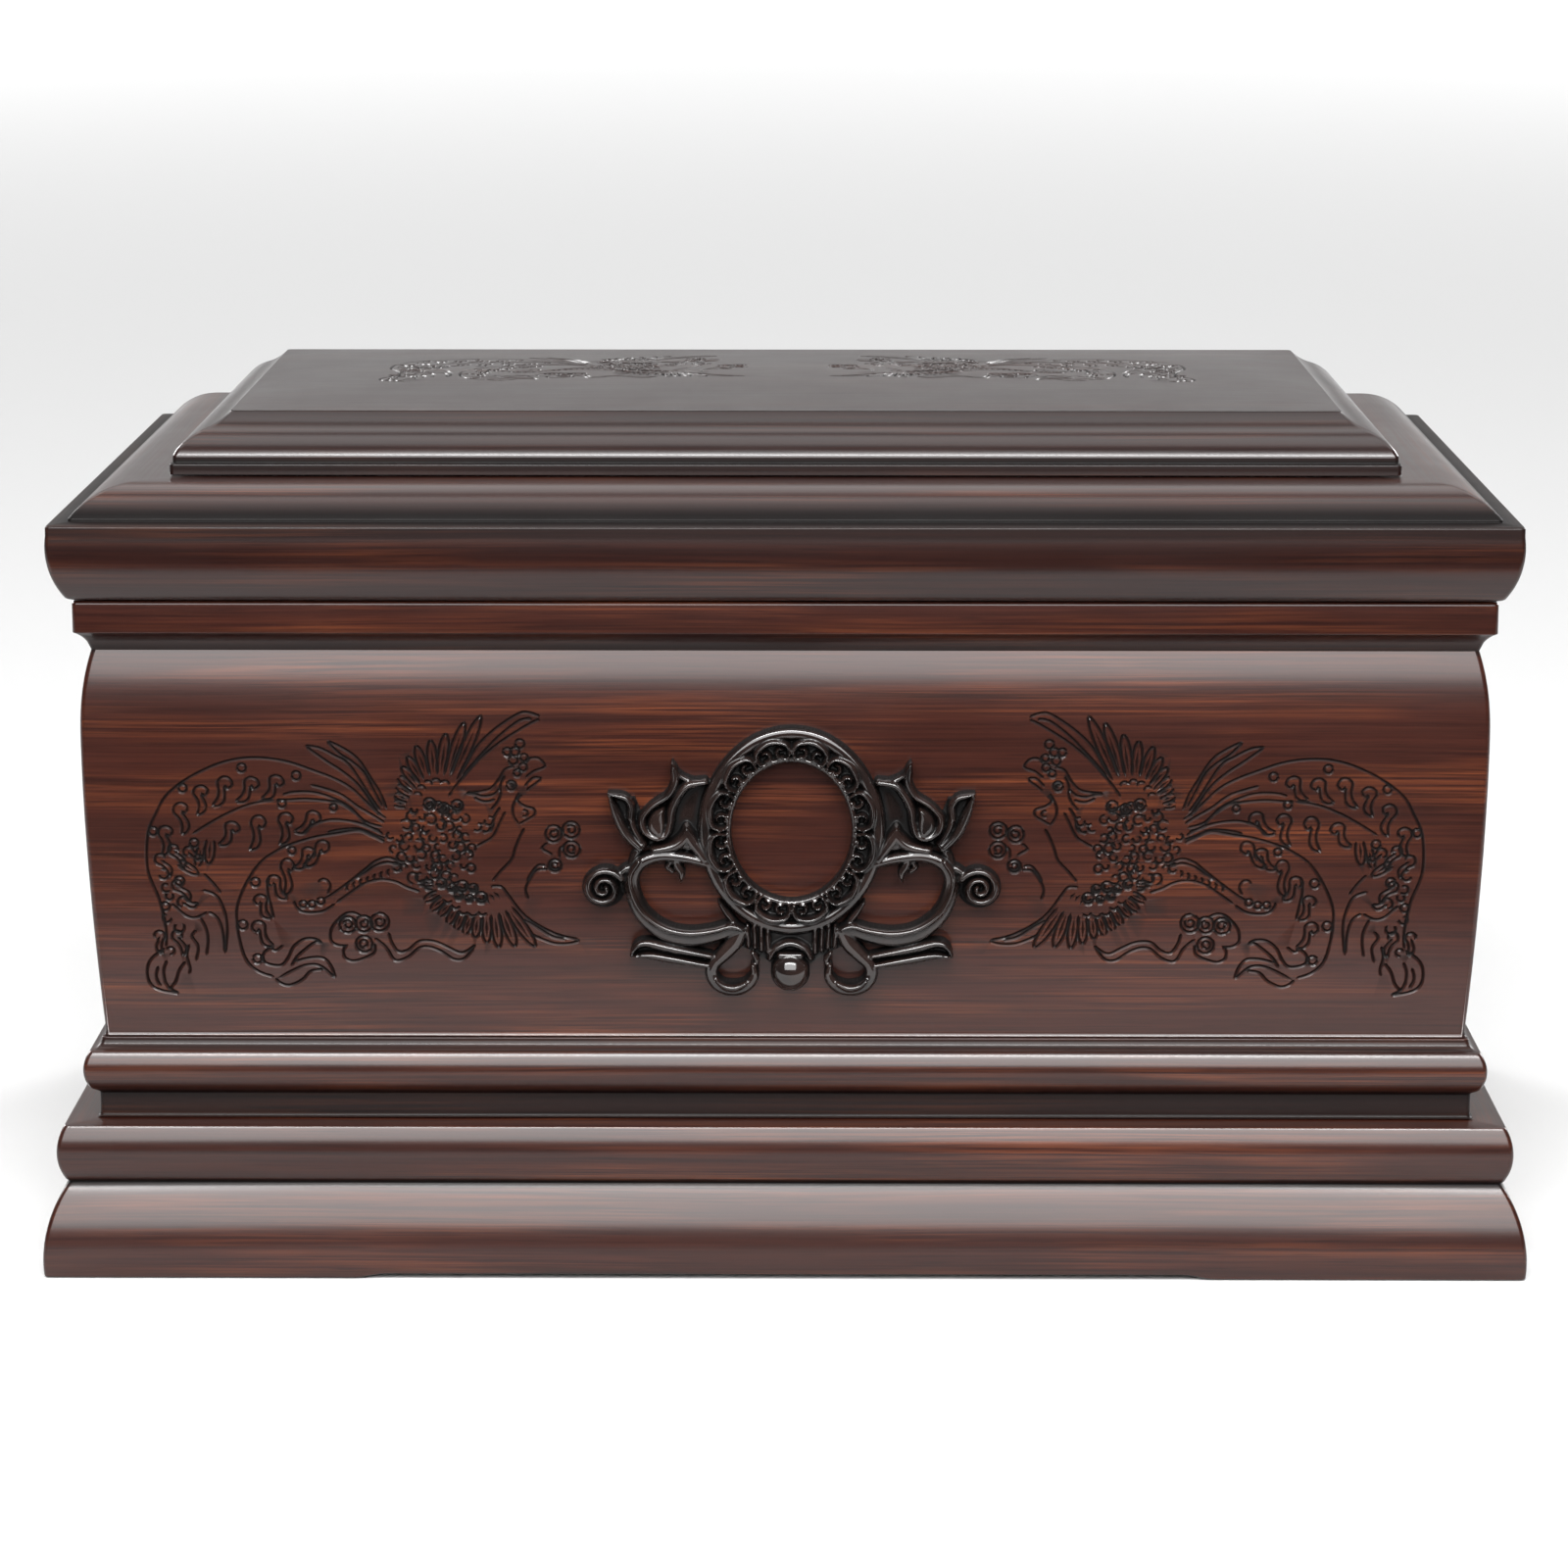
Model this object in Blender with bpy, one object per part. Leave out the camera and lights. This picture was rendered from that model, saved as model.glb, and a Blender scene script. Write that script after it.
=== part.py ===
# A wooden cremation urn: a bulging hollow case on a moulded plinth, with a stepped
# lift-off lid, engraved phoenixes and one carved ornament on the front.
# The front faces -Y, the object stands on z = 0, and every size is in metres.

import math

import bmesh
import bpy
from mathutils import Vector
from mathutils.geometry import delaunay_2d_cdt

for old in list(bpy.data.objects):
    bpy.data.objects.remove(old, do_unlink=True)

MM = 0.001

# Sizes of the whole. Every "inset" below is measured inwards from the lid's rim,
# the same on all four sides, so a negative inset stands out beyond the rim.
LID_WIDTH = 350.0 * MM
LID_DEPTH = 211.7 * MM
CORNER_RADIUS = 1.2 * MM
CORNER_STEPS = 2
TOUCH_GAP = 0.3 * MM
CHAMBER_INSET = 20.0 * MM

# Plinth: a flared foot with a flat half-round over it.
FOOT_HEIGHT = 22.0 * MM
FOOT_BOTTOM_INSET = -4.8 * MM
FOOT_TOP_INSET = 0.6 * MM
FOOT_BULGE = 2.0 * MM
QUIRK_HEIGHT = 1.1 * MM
LOWER_ROUND_HEIGHT = 13.7 * MM
LOWER_ROUND_INSET = 0.4 * MM
LOWER_ROUND_BULGE = 1.9 * MM
CUTOUT_HEIGHT = 1.1 * MM
CUTOUT_HALF_LENGTH = 105.0 * MM
CUTOUT_CURVE_LENGTH = 8.5 * MM

# Base board, let into the plinth from below.
BASE_BOARD_THICKNESS = 10.0 * MM
BASE_BOARD_INSET = 12.0 * MM
BOARD_CLEARANCE = 0.4 * MM

# Waist moulding: a plain fillet with a half-round and a small cove over it.
FILLET_HEIGHT = 7.3 * MM
FILLET_INSET = 8.1 * MM
UPPER_ROUND_HEIGHT = 9.4 * MM
UPPER_ROUND_INSET = 6.2 * MM
UPPER_ROUND_BULGE = 1.6 * MM
COVE_HEIGHT = 2.2 * MM
COVE_INSET = 8.8 * MM
WAIST_EDGE_HEIGHT = 0.8 * MM

# Case: a softly bulging wall, a slanted neck and a straight upper course.
CASE_FOOT_INSET = 9.8 * MM
CASE_WIDEST_INSET = 6.1 * MM
CASE_NECK_INSET = 8.9 * MM
CASE_LOWER_HEIGHT = 73.9 * MM
CASE_UPPER_HEIGHT = 21.3 * MM
NECK_RISE = 4.7 * MM
COURSE_INSET = 5.1 * MM
COURSE_HEIGHT = 7.7 * MM

# Lid frame: an under-cut rim, a narrow ledge and a convex step.
LID_GAP = 0.4 * MM
RIM_HEIGHT = 18.4 * MM
RIM_BOTTOM_INSET = 3.7 * MM
RIM_BULGE = 1.5 * MM
LEDGE_WIDTH = 4.7 * MM
STEP_RISE = 8.1 * MM
STEP_FLAT_INSET = 18.5 * MM
LID_HOLLOW_INSET = 34.0 * MM
LIP_DEPTH = 5.0 * MM
LIP_THICKNESS = 6.0 * MM
LIP_CLEARANCE = 0.5 * MM

# Lid top board: two small square edges, an ogee slope and a cambered top.
BOARD_EDGE_INSET = 26.4 * MM
BOARD_EDGE_STEP = 0.7 * MM
BOARD_LOWER_EDGE = 2.7 * MM
BOARD_UPPER_EDGE = 1.9 * MM
OGEE_RISE = 9.5 * MM
OGEE_WIDTH = 12.9 * MM
CAMBER = 1.4 * MM

# Carved work. The birds grow with the width, and the front ones keep their clearance from the ends.
GROOVE_HALF_WIDTH = 0.45 * MM
GROOVE_DEPTH = 0.5 * MM
BIRD_UNIT = LID_WIDTH * 0.00068
BIRD_REACH = 226.0
FRONT_BIRD_CLEARANCE = 20.4 * MM
FRONT_BIRD_SPREAD = LID_WIDTH / 2.0 - FRONT_BIRD_CLEARANCE - BIRD_REACH * BIRD_UNIT
FRONT_BIRD_RISE = 46.2 * MM
LID_BIRD_SCALE = 0.88
LID_BIRD_SPREAD = LID_WIDTH * 0.16
LID_BIRD_SET_BACK = 14.0 * MM
ORNAMENT_RISE = 52.3 * MM
ORNAMENT_OFFSET = 1.7 * MM
ORNAMENT_UNIT = 1.0 * MM
ORNAMENT_FLOOR = 3.0 * MM

# Heights that follow from the sizes above.
LOWER_ROUND_BOTTOM = FOOT_HEIGHT + QUIRK_HEIGHT
PLINTH_TOP = LOWER_ROUND_BOTTOM + LOWER_ROUND_HEIGHT
WAIST_BOTTOM = PLINTH_TOP + TOUCH_GAP
WAIST_TOP = WAIST_BOTTOM + FILLET_HEIGHT + UPPER_ROUND_HEIGHT + COVE_HEIGHT + WAIST_EDGE_HEIGHT
CASE_BOTTOM = WAIST_TOP + TOUCH_GAP
CASE_WIDEST = CASE_BOTTOM + CASE_LOWER_HEIGHT
CASE_NECK = CASE_WIDEST + CASE_UPPER_HEIGHT
CASE_TOP = CASE_NECK + NECK_RISE + COURSE_HEIGHT
RIM_BOTTOM = CASE_TOP + LID_GAP
RIM_TOP = RIM_BOTTOM + RIM_HEIGHT
FRAME_TOP = RIM_TOP + STEP_RISE
BOARD_BOTTOM = FRAME_TOP + TOUCH_GAP
OGEE_BOTTOM = BOARD_BOTTOM + BOARD_LOWER_EDGE + BOARD_UPPER_EDGE
PLATEAU = OGEE_BOTTOM + OGEE_RISE
PLATEAU_INSET = BOARD_EDGE_INSET + BOARD_EDGE_STEP + OGEE_WIDTH

WALNUT = (0.060, 0.018, 0.011, 1.0)
RAW_BOARD = (0.110, 0.050, 0.028, 1.0)
EBONISED = (0.012, 0.009, 0.009, 1.0)


def arc(start, end, bulge, steps):
    """Points along a circular arc. A positive bulge swells to the left of the way from start to end."""
    chord_x = end[0] - start[0]
    chord_z = end[1] - start[1]
    chord = math.hypot(chord_x, chord_z)
    half_angle = 2.0 * math.atan2(2.0 * abs(bulge), chord)
    radius = chord / (2.0 * math.sin(half_angle))
    points = []
    for step in range(steps + 1):
        share = step / steps
        angle = half_angle * (2.0 * share - 1.0)
        along = 0.5 + radius * math.sin(angle) / chord
        rise = radius * (math.cos(angle) - math.cos(half_angle)) * (1.0 if bulge > 0 else -1.0)
        x = start[0] + chord_x * along - chord_z / chord * rise
        z = start[1] + chord_z * along + chord_x / chord * rise
        points.append((x, z))
    return points


def case_inset(z):
    """How far the case's outer face stands in from the lid's rim at height z."""
    if z <= CASE_WIDEST:
        share = (CASE_WIDEST - z) / CASE_LOWER_HEIGHT
        return CASE_WIDEST_INSET + (CASE_FOOT_INSET - CASE_WIDEST_INSET) * share**1.75
    share = (z - CASE_WIDEST) / CASE_UPPER_HEIGHT
    return CASE_WIDEST_INSET + (CASE_NECK_INSET - CASE_WIDEST_INSET) * share**2.4


def ring_at(inset, z):
    """One level of a moulding: a rectangle with small round corners, counter-clockwise."""
    half_x = LID_WIDTH / 2.0 - inset - CORNER_RADIUS
    half_y = LID_DEPTH / 2.0 - inset - CORNER_RADIUS
    ring = []
    for quarter, (side_x, side_y) in enumerate(((1, -1), (1, 1), (-1, 1), (-1, -1))):
        for step in range(CORNER_STEPS + 1):
            angle = math.radians(90.0 * (quarter - 1 + step / CORNER_STEPS))
            x = side_x * half_x + CORNER_RADIUS * math.cos(angle)
            y = side_y * half_y + CORNER_RADIUS * math.sin(angle)
            ring.append((x, y, z))
    return ring


def add_sweep(mesh, profile, closed, open_front=()):
    """Sweeps a profile of (inset, z) round the rectangle. Strips in open_front have no front face."""
    rings = [[mesh.verts.new(point) for point in ring_at(*level)] for level in profile]
    count = len(rings[0])
    strips = len(rings) if closed else len(rings) - 1
    for strip in range(strips):
        low = rings[strip]
        high = rings[(strip + 1) % len(rings)]
        for side in range(count):
            is_front = side == count - 1
            if is_front and strip in open_front:
                continue
            after = (side + 1) % count
            mesh.faces.new((low[side], low[after], high[after], high[side]))
    return rings


def finish(name, mesh, colour, roughness, smooth_below=35.0):
    """Welds the mesh, turns its faces outwards and makes the named object."""
    bmesh.ops.remove_doubles(mesh, verts=mesh.verts[:], dist=0.002 * MM)
    bmesh.ops.recalc_face_normals(mesh, faces=mesh.faces[:])
    for face in mesh.faces:
        face.smooth = True
    for edge in mesh.edges:
        edge.smooth = len(edge.link_faces) == 2 and edge.calc_face_angle() < math.radians(smooth_below)
    data = bpy.data.meshes.new(name)
    mesh.to_mesh(data)
    mesh.free()
    material = bpy.data.materials.new(name)
    material.use_nodes = True
    shader = material.node_tree.nodes["Principled BSDF"]
    shader.inputs["Base Color"].default_value = colour
    shader.inputs["Roughness"].default_value = roughness
    shader.inputs["Metallic"].default_value = 0.0
    data.materials.append(material)
    piece = bpy.data.objects.new(name, data)
    bpy.context.scene.collection.objects.link(piece)
    return piece


def smooth_line(points, steps, closed=False):
    """A rounded line through the points, with this many short pieces between each two of them."""
    count = len(points)
    line = []
    for index in range(count if closed else count - 1):
        if closed:
            near = [points[(index + shift) % count] for shift in (-1, 0, 1, 2)]
        else:
            near = [points[min(max(index + shift, 0), count - 1)] for shift in (-1, 0, 1, 2)]
        for step in range(steps):
            t = step / steps
            weights = (
                0.5 * (-t + 2 * t * t - t**3),
                0.5 * (2 - 5 * t * t + 3 * t**3),
                0.5 * (t + 4 * t * t - 3 * t**3),
                0.5 * (-t * t + t**3),
            )
            axes = range(len(points[0]))
            line.append(tuple(sum(w * p[axis] for w, p in zip(weights, near)) for axis in axes))
    if not closed:
        line.append(tuple(points[-1]))
    return line


def across(line, index, closed):
    """The direction square to a line at a point, lengthened so that borders stay parallel at a bend."""
    count = len(line)
    here = Vector(line[index][:2])
    before = Vector(line[index - 1][:2]) if index or closed else here
    after = Vector(line[(index + 1) % count][:2]) if index < count - 1 or closed else here
    arriving = (here - before).normalized() if (here - before).length > 0 else (after - here).normalized()
    leaving = (after - here).normalized() if (after - here).length > 0 else arriving
    middle = (arriving + leaving).normalized() if (arriving + leaving).length > 0.1 else arriving
    stretch = 1.0 / max(0.6, middle.dot(arriving))
    return Vector((-middle.y, middle.x)) * stretch


class Drawing:
    """Flat carved work: strokes with a width and a height, gathered as points, edges and faces."""

    def __init__(self):
        self.points = []
        self.edges = []
        self.faces = []
        self.strokes = []
        self.areas = []
        self.balls = []

    def add_point(self, x, y):
        self.points.append((x, y))
        return len(self.points) - 1

    def add_stroke(self, line, closed=False, shares=(-1.0, 0.0, 1.0), crest=0.0, edge=0.0):
        """A stroke along line, whose points are (x, y, half width). Ends with no width come to a point."""
        rows = []
        for index, (x, y, half) in enumerate(line):
            if half <= 0.0:
                rows.append([self.add_point(x, y)] * len(shares))
                continue
            side = across(line, index, closed) * half
            rows.append([self.add_point(x + side.x * share, y + side.y * share) for share in shares])
        pairs = list(zip(rows, rows[1:] + rows[:1])) if closed else list(zip(rows, rows[1:]))
        for low, high in pairs:
            for step in range(len(shares) - 1):
                self.add_face((low[step], high[step], high[step + 1]))
                self.add_face((low[step], high[step + 1], low[step + 1]))
            for a, b in zip(low, high):
                if a != b:
                    self.edges.append((a, b))
        self.strokes.append((list(line), closed, crest, edge))

    def add_face(self, corners):
        """Keeps a face counter-clockwise, and leaves out one with no area."""
        flat = [self.points[corner] for corner in corners]
        area = sum(ax * by - bx * ay for (ax, ay), (bx, by) in zip(flat, flat[1:] + flat[:1])) / 2.0
        if abs(area) > 1e-12:
            self.faces.append(list(corners) if area > 0 else list(reversed(corners)))

    def add_area(self, outline, height):
        """A flat-topped area with this outline."""
        self.add_face([self.add_point(x, y) for x, y in outline])
        self.areas.append((list(outline), height))


def near_stroke(x, y, line, closed):
    """The share of the half width left at (x, y), 1 on the line and 0 at the border, and the half width."""
    best = (0.0, 0.0)
    count = len(line)
    for index in range(count if closed else count - 1):
        ax, ay, a_half = line[index]
        bx, by, b_half = line[(index + 1) % count]
        length = (bx - ax) ** 2 + (by - ay) ** 2
        ahead = (x - ax) * (bx - ax) + (y - ay) * (by - ay)
        along = 0.0 if length == 0 else min(1.0, max(0.0, ahead / length))
        away = math.hypot(x - ax - along * (bx - ax), y - ay - along * (by - ay))
        half = a_half + along * (b_half - a_half)
        if half > 0 and (half - away) / half > best[0]:
            best = ((half - away) / half, half)
    return best


def inside(x, y, outline):
    """Whether (x, y) lies in the outline."""
    found = False
    for (ax, ay), (bx, by) in zip(outline, outline[1:] + outline[:1]):
        if (ay > y) != (by > y) and x < ax + (y - ay) / (by - ay) * (bx - ax):
            found = not found
    return found


def groove_depth(x, y, strokes, scale=1.0):
    """How deep the V-shaped strokes cut at (x, y)."""
    deepest = 0.0
    for line, closed, _, _ in strokes:
        share, half = near_stroke(x, y, line, closed)
        deepest = max(deepest, share * half / (GROOVE_HALF_WIDTH * scale) * GROOVE_DEPTH)
    return deepest


# The phoenix, drawn once in small units with its centre at (0, 0), the tail to +x and up to +y.


def fan(centre, tips, base, bend):
    """Feathers from an arc round a centre to the tips, each bent a little."""
    feathers = []
    for tip_x, tip_y in tips:
        reach = math.hypot(tip_x - centre[0], tip_y - centre[1])
        along = ((tip_x - centre[0]) / reach, (tip_y - centre[1]) / reach)
        start = (centre[0] + along[0] * base, centre[1] + along[1] * base)
        middle = ((start[0] + tip_x) / 2 - along[1] * bend, (start[1] + tip_y) / 2 + along[0] * bend)
        feathers.append([start, middle, (tip_x, tip_y)])
    return feathers


def phoenix_lines(full):
    """The main lines of one phoenix. The full set adds the body scrolls, the clouds and the barbs."""
    lines = []
    upper_tips = (
        (-120, 144), (-102, 137), (-83, 124), (-66, 117), (-51, 111),
        (-40, 96), (-33, 79), (-29, 58),
    )  # fmt: skip
    lower_tips = (
        (-150, -101), (-133, -102), (-118, -96), (-103, -89),
        (-86, -82), (-74, -70), (-62, -60), (-53, -38),
    )  # fmt: skip
    lines += fan((-65, 52), upper_tips, 28, 3)
    lines += fan((-106, -40), lower_tips, 24, -3)
    lines.append([(-92, 70), (-120, 116), (-159, 143), (-177, 140), (-140, 119), (-98, 76)])
    lines.append([(-136, -36), (-160, -66), (-188, -85), (-216, -92), (-190, -97), (-165, -88), (-140, -62)])
    # Head, neck and the flowing head plume.
    lines.append([(-178, 75), (-162, 92), (-150, 112), (-145, 84), (-133, 73), (-101, 63)])
    lines.append([(-142, 57), (-136, 36), (-130, 20)])
    lines.append([(-155, 59), (-148, 42), (-138, 25), (-126, 8)])
    # Breast and back as two swags.
    lines.append([(-130, 20), (-122, -14), (-100, -26), (-66, -22), (-40, -6)])
    lines.append([(-100, 56), (-70, 40), (-40, 26), (-23, 30)])
    # Thin pair of tail streamers, then the three plumes.
    lines.append([(-23, 33), (-8, 84), (12, 108), (38, 115)])
    lines.append([(-8, 67), (20, 95), (59, 110)])
    plume = [(-23, 30), (-8, 50), (23, 73), (84, 95), (145, 93), (199, 62), (219, 20), (212, -33), (192, -107)]
    lines.append(plume)
    lines.append([(30, 51), (78, 56), (114, 51), (145, 41), (176, 18)])
    lines.append([(-8, 18), (30, 19), (75, 9), (114, -22), (133, -70), (118, -118), (93, -135)])
    lines.append([(68, -17), (90, -50), (101, -98)])
    lines.append([(192, -149), (214, -125), (222, -100), (196, -92), (180, -118), (192, -149)])
    lines.append([(33, -135), (60, -118), (44, -98), (84, -112), (93, -135), (60, -140), (33, -135)])
    if not full:
        return lines
    # Legs with the lifted claw.
    lines.append([(-8, -16), (32, -43), (62, -60), (75, -55), (46, -32)])
    lines.append([(-34, -10), (12, -43), (53, -63)])
    # Scrolls on the body, and barbs along the great plume.
    for x, y in ((-92, 38), (-66, 10), (-96, 2)):
        lines.append([(x - 11, y), (x, y + 11), (x + 11, y), (x, y - 10), (x - 5, y)])
    for x, y in ((84, 78), (139, 76), (189, 50), (203, 22)):
        lines.append([(x - 9, y + 2), (x + 3, y - 4), (x - 3, y - 22)])
    # Two small clouds of three curls each, with trailing ribbons.
    for centre_x, centre_y, reach in ((-193, 18, 12), (12, -87, 14)):
        for turn in (90, 210, 330):
            x = centre_x + reach * math.cos(math.radians(turn))
            y = centre_y + reach * math.sin(math.radians(turn))
            turns = (0.4, 1.9, 3.4, 4.9)
            curl = [(x + 0.8 * reach * math.cos(a), y + 0.8 * reach * math.sin(a)) for a in turns]
            lines.append(curl)
    lines.append([(-188, -20), (-166, -30), (-164, -50)])
    lines.append([(-6, -92), (-29, -112), (-63, -96), (-90, -111), (-112, -97)])
    return lines


def draw_phoenix(drawing, centre_x, centre_y, scale, mirror, full):
    """Adds one phoenix to a drawing as V-shaped strokes that come to a point at both ends."""
    for line in phoenix_lines(full):
        placed = []
        for index, (x, y) in enumerate(line):
            half = 0.0 if index in (0, len(line) - 1) else GROOVE_HALF_WIDTH
            placed.append((centre_x + mirror * x * scale, centre_y + y * scale, half))
        drawing.add_stroke(placed)


def engraved_faces(mesh, drawing, outline, spacing, place):
    """Fills the outline with triangles that carry the drawing, each point put in space by place(x, y, depth)."""
    points = list(outline)
    edges = [(index, (index + 1) % len(outline)) for index in range(len(outline))]
    shift = len(points)
    points += drawing.points
    edges += [(a + shift, b + shift) for a, b in drawing.edges]
    left = min(x for x, _ in outline)
    right = max(x for x, _ in outline)
    low = min(y for _, y in outline)
    high = max(y for _, y in outline)
    columns = max(2, round((right - left) / spacing))
    rows = max(2, round((high - low) / spacing))
    for column in range(1, columns):
        for row in range(1, rows):
            x = left + (right - left) * column / columns
            y = low + (high - low) * row / rows
            crowded = any(math.hypot(x - px, y - py) < spacing * 0.45 for px, py in drawing.points)
            if not crowded and inside(x, y, outline):
                points.append((x, y))
    result = delaunay_2d_cdt([Vector(p) for p in points], edges, [], 1, 1e-7, True)
    flat_points, _, triangles = result[:3]
    placed = []
    for point in flat_points:
        depth = groove_depth(point.x, point.y, drawing.strokes)
        placed.append(mesh.verts.new(place(point.x, point.y, depth)))
    for triangle in triangles:
        mesh.faces.new([placed[corner] for corner in triangle])


# Plinth, a mitred frame: outside from the floor up, then the inside back down with the board's rebate.
plinth_profile = arc((FOOT_BOTTOM_INSET, 0.0), (FOOT_TOP_INSET, FOOT_HEIGHT), FOOT_BULGE, 6)
plinth_profile.append((FOOT_TOP_INSET + 0.5 * MM, FOOT_HEIGHT + QUIRK_HEIGHT * 0.5))
plinth_profile += arc(
    (LOWER_ROUND_INSET, LOWER_ROUND_BOTTOM), (LOWER_ROUND_INSET, PLINTH_TOP), LOWER_ROUND_BULGE, 6
)
plinth_profile.append((CHAMBER_INSET, PLINTH_TOP))
plinth_profile.append((CHAMBER_INSET, BASE_BOARD_THICKNESS + TOUCH_GAP))
plinth_profile.append((BASE_BOARD_INSET, BASE_BOARD_THICKNESS + TOUCH_GAP))
plinth_profile.append((BASE_BOARD_INSET, 0.0))
plinth_mesh = bmesh.new()
add_sweep(plinth_mesh, plinth_profile, closed=True)
plinth = finish("plinth", plinth_mesh, WALNUT, 0.32)

# The shallow cut-out under the front and back rails, with an S-curve at each end.
cutter_outline = [(-CUTOUT_HALF_LENGTH, -3.0 * MM), (-CUTOUT_HALF_LENGTH, 0.0)]
for step in range(1, 6):
    share = step / 5
    height = CUTOUT_HEIGHT * (1.0 - math.cos(math.pi * share)) / 2.0
    cutter_outline.append((-CUTOUT_HALF_LENGTH + CUTOUT_CURVE_LENGTH * share, height))
cutter_outline += [(-x, z) for x, z in reversed(cutter_outline)]
cutter_mesh = bmesh.new()
cutter_ends = []
for y in (-LID_DEPTH, LID_DEPTH):
    cutter_ends.append([cutter_mesh.verts.new((x, y, z)) for x, z in cutter_outline])
cutter_mesh.faces.new(cutter_ends[0])
cutter_mesh.faces.new(cutter_ends[1])
for index in range(len(cutter_outline)):
    after = (index + 1) % len(cutter_outline)
    cutter_mesh.faces.new(
        (cutter_ends[0][index], cutter_ends[0][after], cutter_ends[1][after], cutter_ends[1][index])
    )
cutter = finish("plinth_cutter", cutter_mesh, RAW_BOARD, 0.6)
cutter.hide_render = True
cutter.display_type = "WIRE"
cut = plinth.modifiers.new("cut_out", "BOOLEAN")
cut.operation = "DIFFERENCE"
cut.solver = "EXACT"
cut.object = cutter

# Base board, flush with the underside.
board_mesh = bmesh.new()
board_half_x = LID_WIDTH / 2.0 - BASE_BOARD_INSET - BOARD_CLEARANCE
board_half_y = LID_DEPTH / 2.0 - BASE_BOARD_INSET - BOARD_CLEARANCE
board_rings = []
for z in (0.0, BASE_BOARD_THICKNESS):
    corners = ((board_half_x, -board_half_y), (board_half_x, board_half_y))
    corners += ((-board_half_x, board_half_y), (-board_half_x, -board_half_y))
    board_rings.append([board_mesh.verts.new((x, y, z)) for x, y in corners])
for ring in board_rings:
    board_mesh.faces.new(ring)
for side in range(4):
    after = (side + 1) % 4
    board_mesh.faces.new(
        (board_rings[0][side], board_rings[0][after], board_rings[1][after], board_rings[1][side])
    )
finish("base_board", board_mesh, RAW_BOARD, 0.55)

# Waist moulding.
fillet_top = WAIST_BOTTOM + FILLET_HEIGHT
round_top = fillet_top + UPPER_ROUND_HEIGHT
waist_profile = [(FILLET_INSET, WAIST_BOTTOM), (FILLET_INSET, fillet_top - 1.2 * MM)]
waist_profile += arc((UPPER_ROUND_INSET, fillet_top), (UPPER_ROUND_INSET, round_top), UPPER_ROUND_BULGE, 6)
waist_profile += arc((UPPER_ROUND_INSET, round_top), (COVE_INSET, round_top + COVE_HEIGHT), -0.5 * MM, 3)[1:]
waist_profile.append((COVE_INSET, WAIST_TOP))
waist_profile.append((CHAMBER_INSET, WAIST_TOP))
waist_profile.append((CHAMBER_INSET, WAIST_BOTTOM))
waist_mesh = bmesh.new()
add_sweep(waist_mesh, waist_profile, closed=True)
finish("waist_moulding", waist_mesh, WALNUT, 0.32)

# Case. The front of the bulging part is left open in the sweep and filled with the engraved face.
bulge_levels = [CASE_BOTTOM + CASE_LOWER_HEIGHT * step / 6 for step in range(7)]
bulge_levels += [CASE_WIDEST + CASE_UPPER_HEIGHT * step / 5 for step in range(1, 6)]
case_profile = [(case_inset(z), z) for z in bulge_levels]
bulge_strips = range(len(bulge_levels) - 1)
case_profile += arc(
    (CASE_NECK_INSET - 0.2 * MM, CASE_NECK + 0.5 * MM), (COURSE_INSET, CASE_NECK + NECK_RISE), -0.6 * MM, 4
)
case_profile.append((COURSE_INSET, CASE_TOP - 0.6 * MM))
case_profile.append((COURSE_INSET + 0.5 * MM, CASE_TOP))
case_profile.append((CHAMBER_INSET, CASE_TOP))
case_profile.append((CHAMBER_INSET, CASE_BOTTOM))
case_mesh = bmesh.new()
add_sweep(case_mesh, case_profile, closed=True, open_front=bulge_strips)


def front_edge(z):
    """Half the width of the case's flat front at height z, up to the round corners."""
    return LID_WIDTH / 2.0 - case_inset(z) - CORNER_RADIUS


def on_front(x, z, depth):
    """A point of the case's front face, cut back by depth."""
    return (x, -(LID_DEPTH / 2.0 - case_inset(z)) + depth, z)


front_outline = [(front_edge(z), z) for z in bulge_levels]
front_outline += [(-x, z) for x, z in reversed(front_outline)]
front_drawing = Drawing()
bird_height = CASE_BOTTOM + FRONT_BIRD_RISE
for side in (1, -1):
    draw_phoenix(front_drawing, side * FRONT_BIRD_SPREAD, bird_height, BIRD_UNIT, side, full=True)
engraved_faces(case_mesh, front_drawing, front_outline, 13.0 * MM, on_front)
finish("case", case_mesh, WALNUT, 0.30)

# Lid frame: outside from the underside up, over the step, then down the hollow and round the locating lip.
frame_profile = [(RIM_BOTTOM_INSET + 0.8 * MM, RIM_BOTTOM)]
frame_profile += arc((RIM_BOTTOM_INSET, RIM_BOTTOM + 0.5 * MM), (0.0, RIM_TOP - 2.5 * MM), RIM_BULGE, 6)
frame_profile.append((0.0, RIM_TOP - 0.4 * MM))
frame_profile.append((0.4 * MM, RIM_TOP))
frame_profile.append((LEDGE_WIDTH, RIM_TOP + 0.3 * MM))
step_start = (LEDGE_WIDTH, RIM_TOP + 0.9 * MM)
frame_profile += arc(step_start, (STEP_FLAT_INSET, FRAME_TOP), 1.7 * MM, 7)
frame_profile.append((LID_HOLLOW_INSET, FRAME_TOP))
frame_profile.append((LID_HOLLOW_INSET, RIM_BOTTOM))
lip_outer = CHAMBER_INSET + LIP_CLEARANCE
frame_profile.append((lip_outer + LIP_THICKNESS, RIM_BOTTOM))
frame_profile.append((lip_outer + LIP_THICKNESS, RIM_BOTTOM - LIP_DEPTH))
frame_profile.append((lip_outer, RIM_BOTTOM - LIP_DEPTH))
frame_profile.append((lip_outer, RIM_BOTTOM))
frame_mesh = bmesh.new()
add_sweep(frame_mesh, frame_profile, closed=True)
finish("lid_frame", frame_mesh, WALNUT, 0.30)

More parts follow.
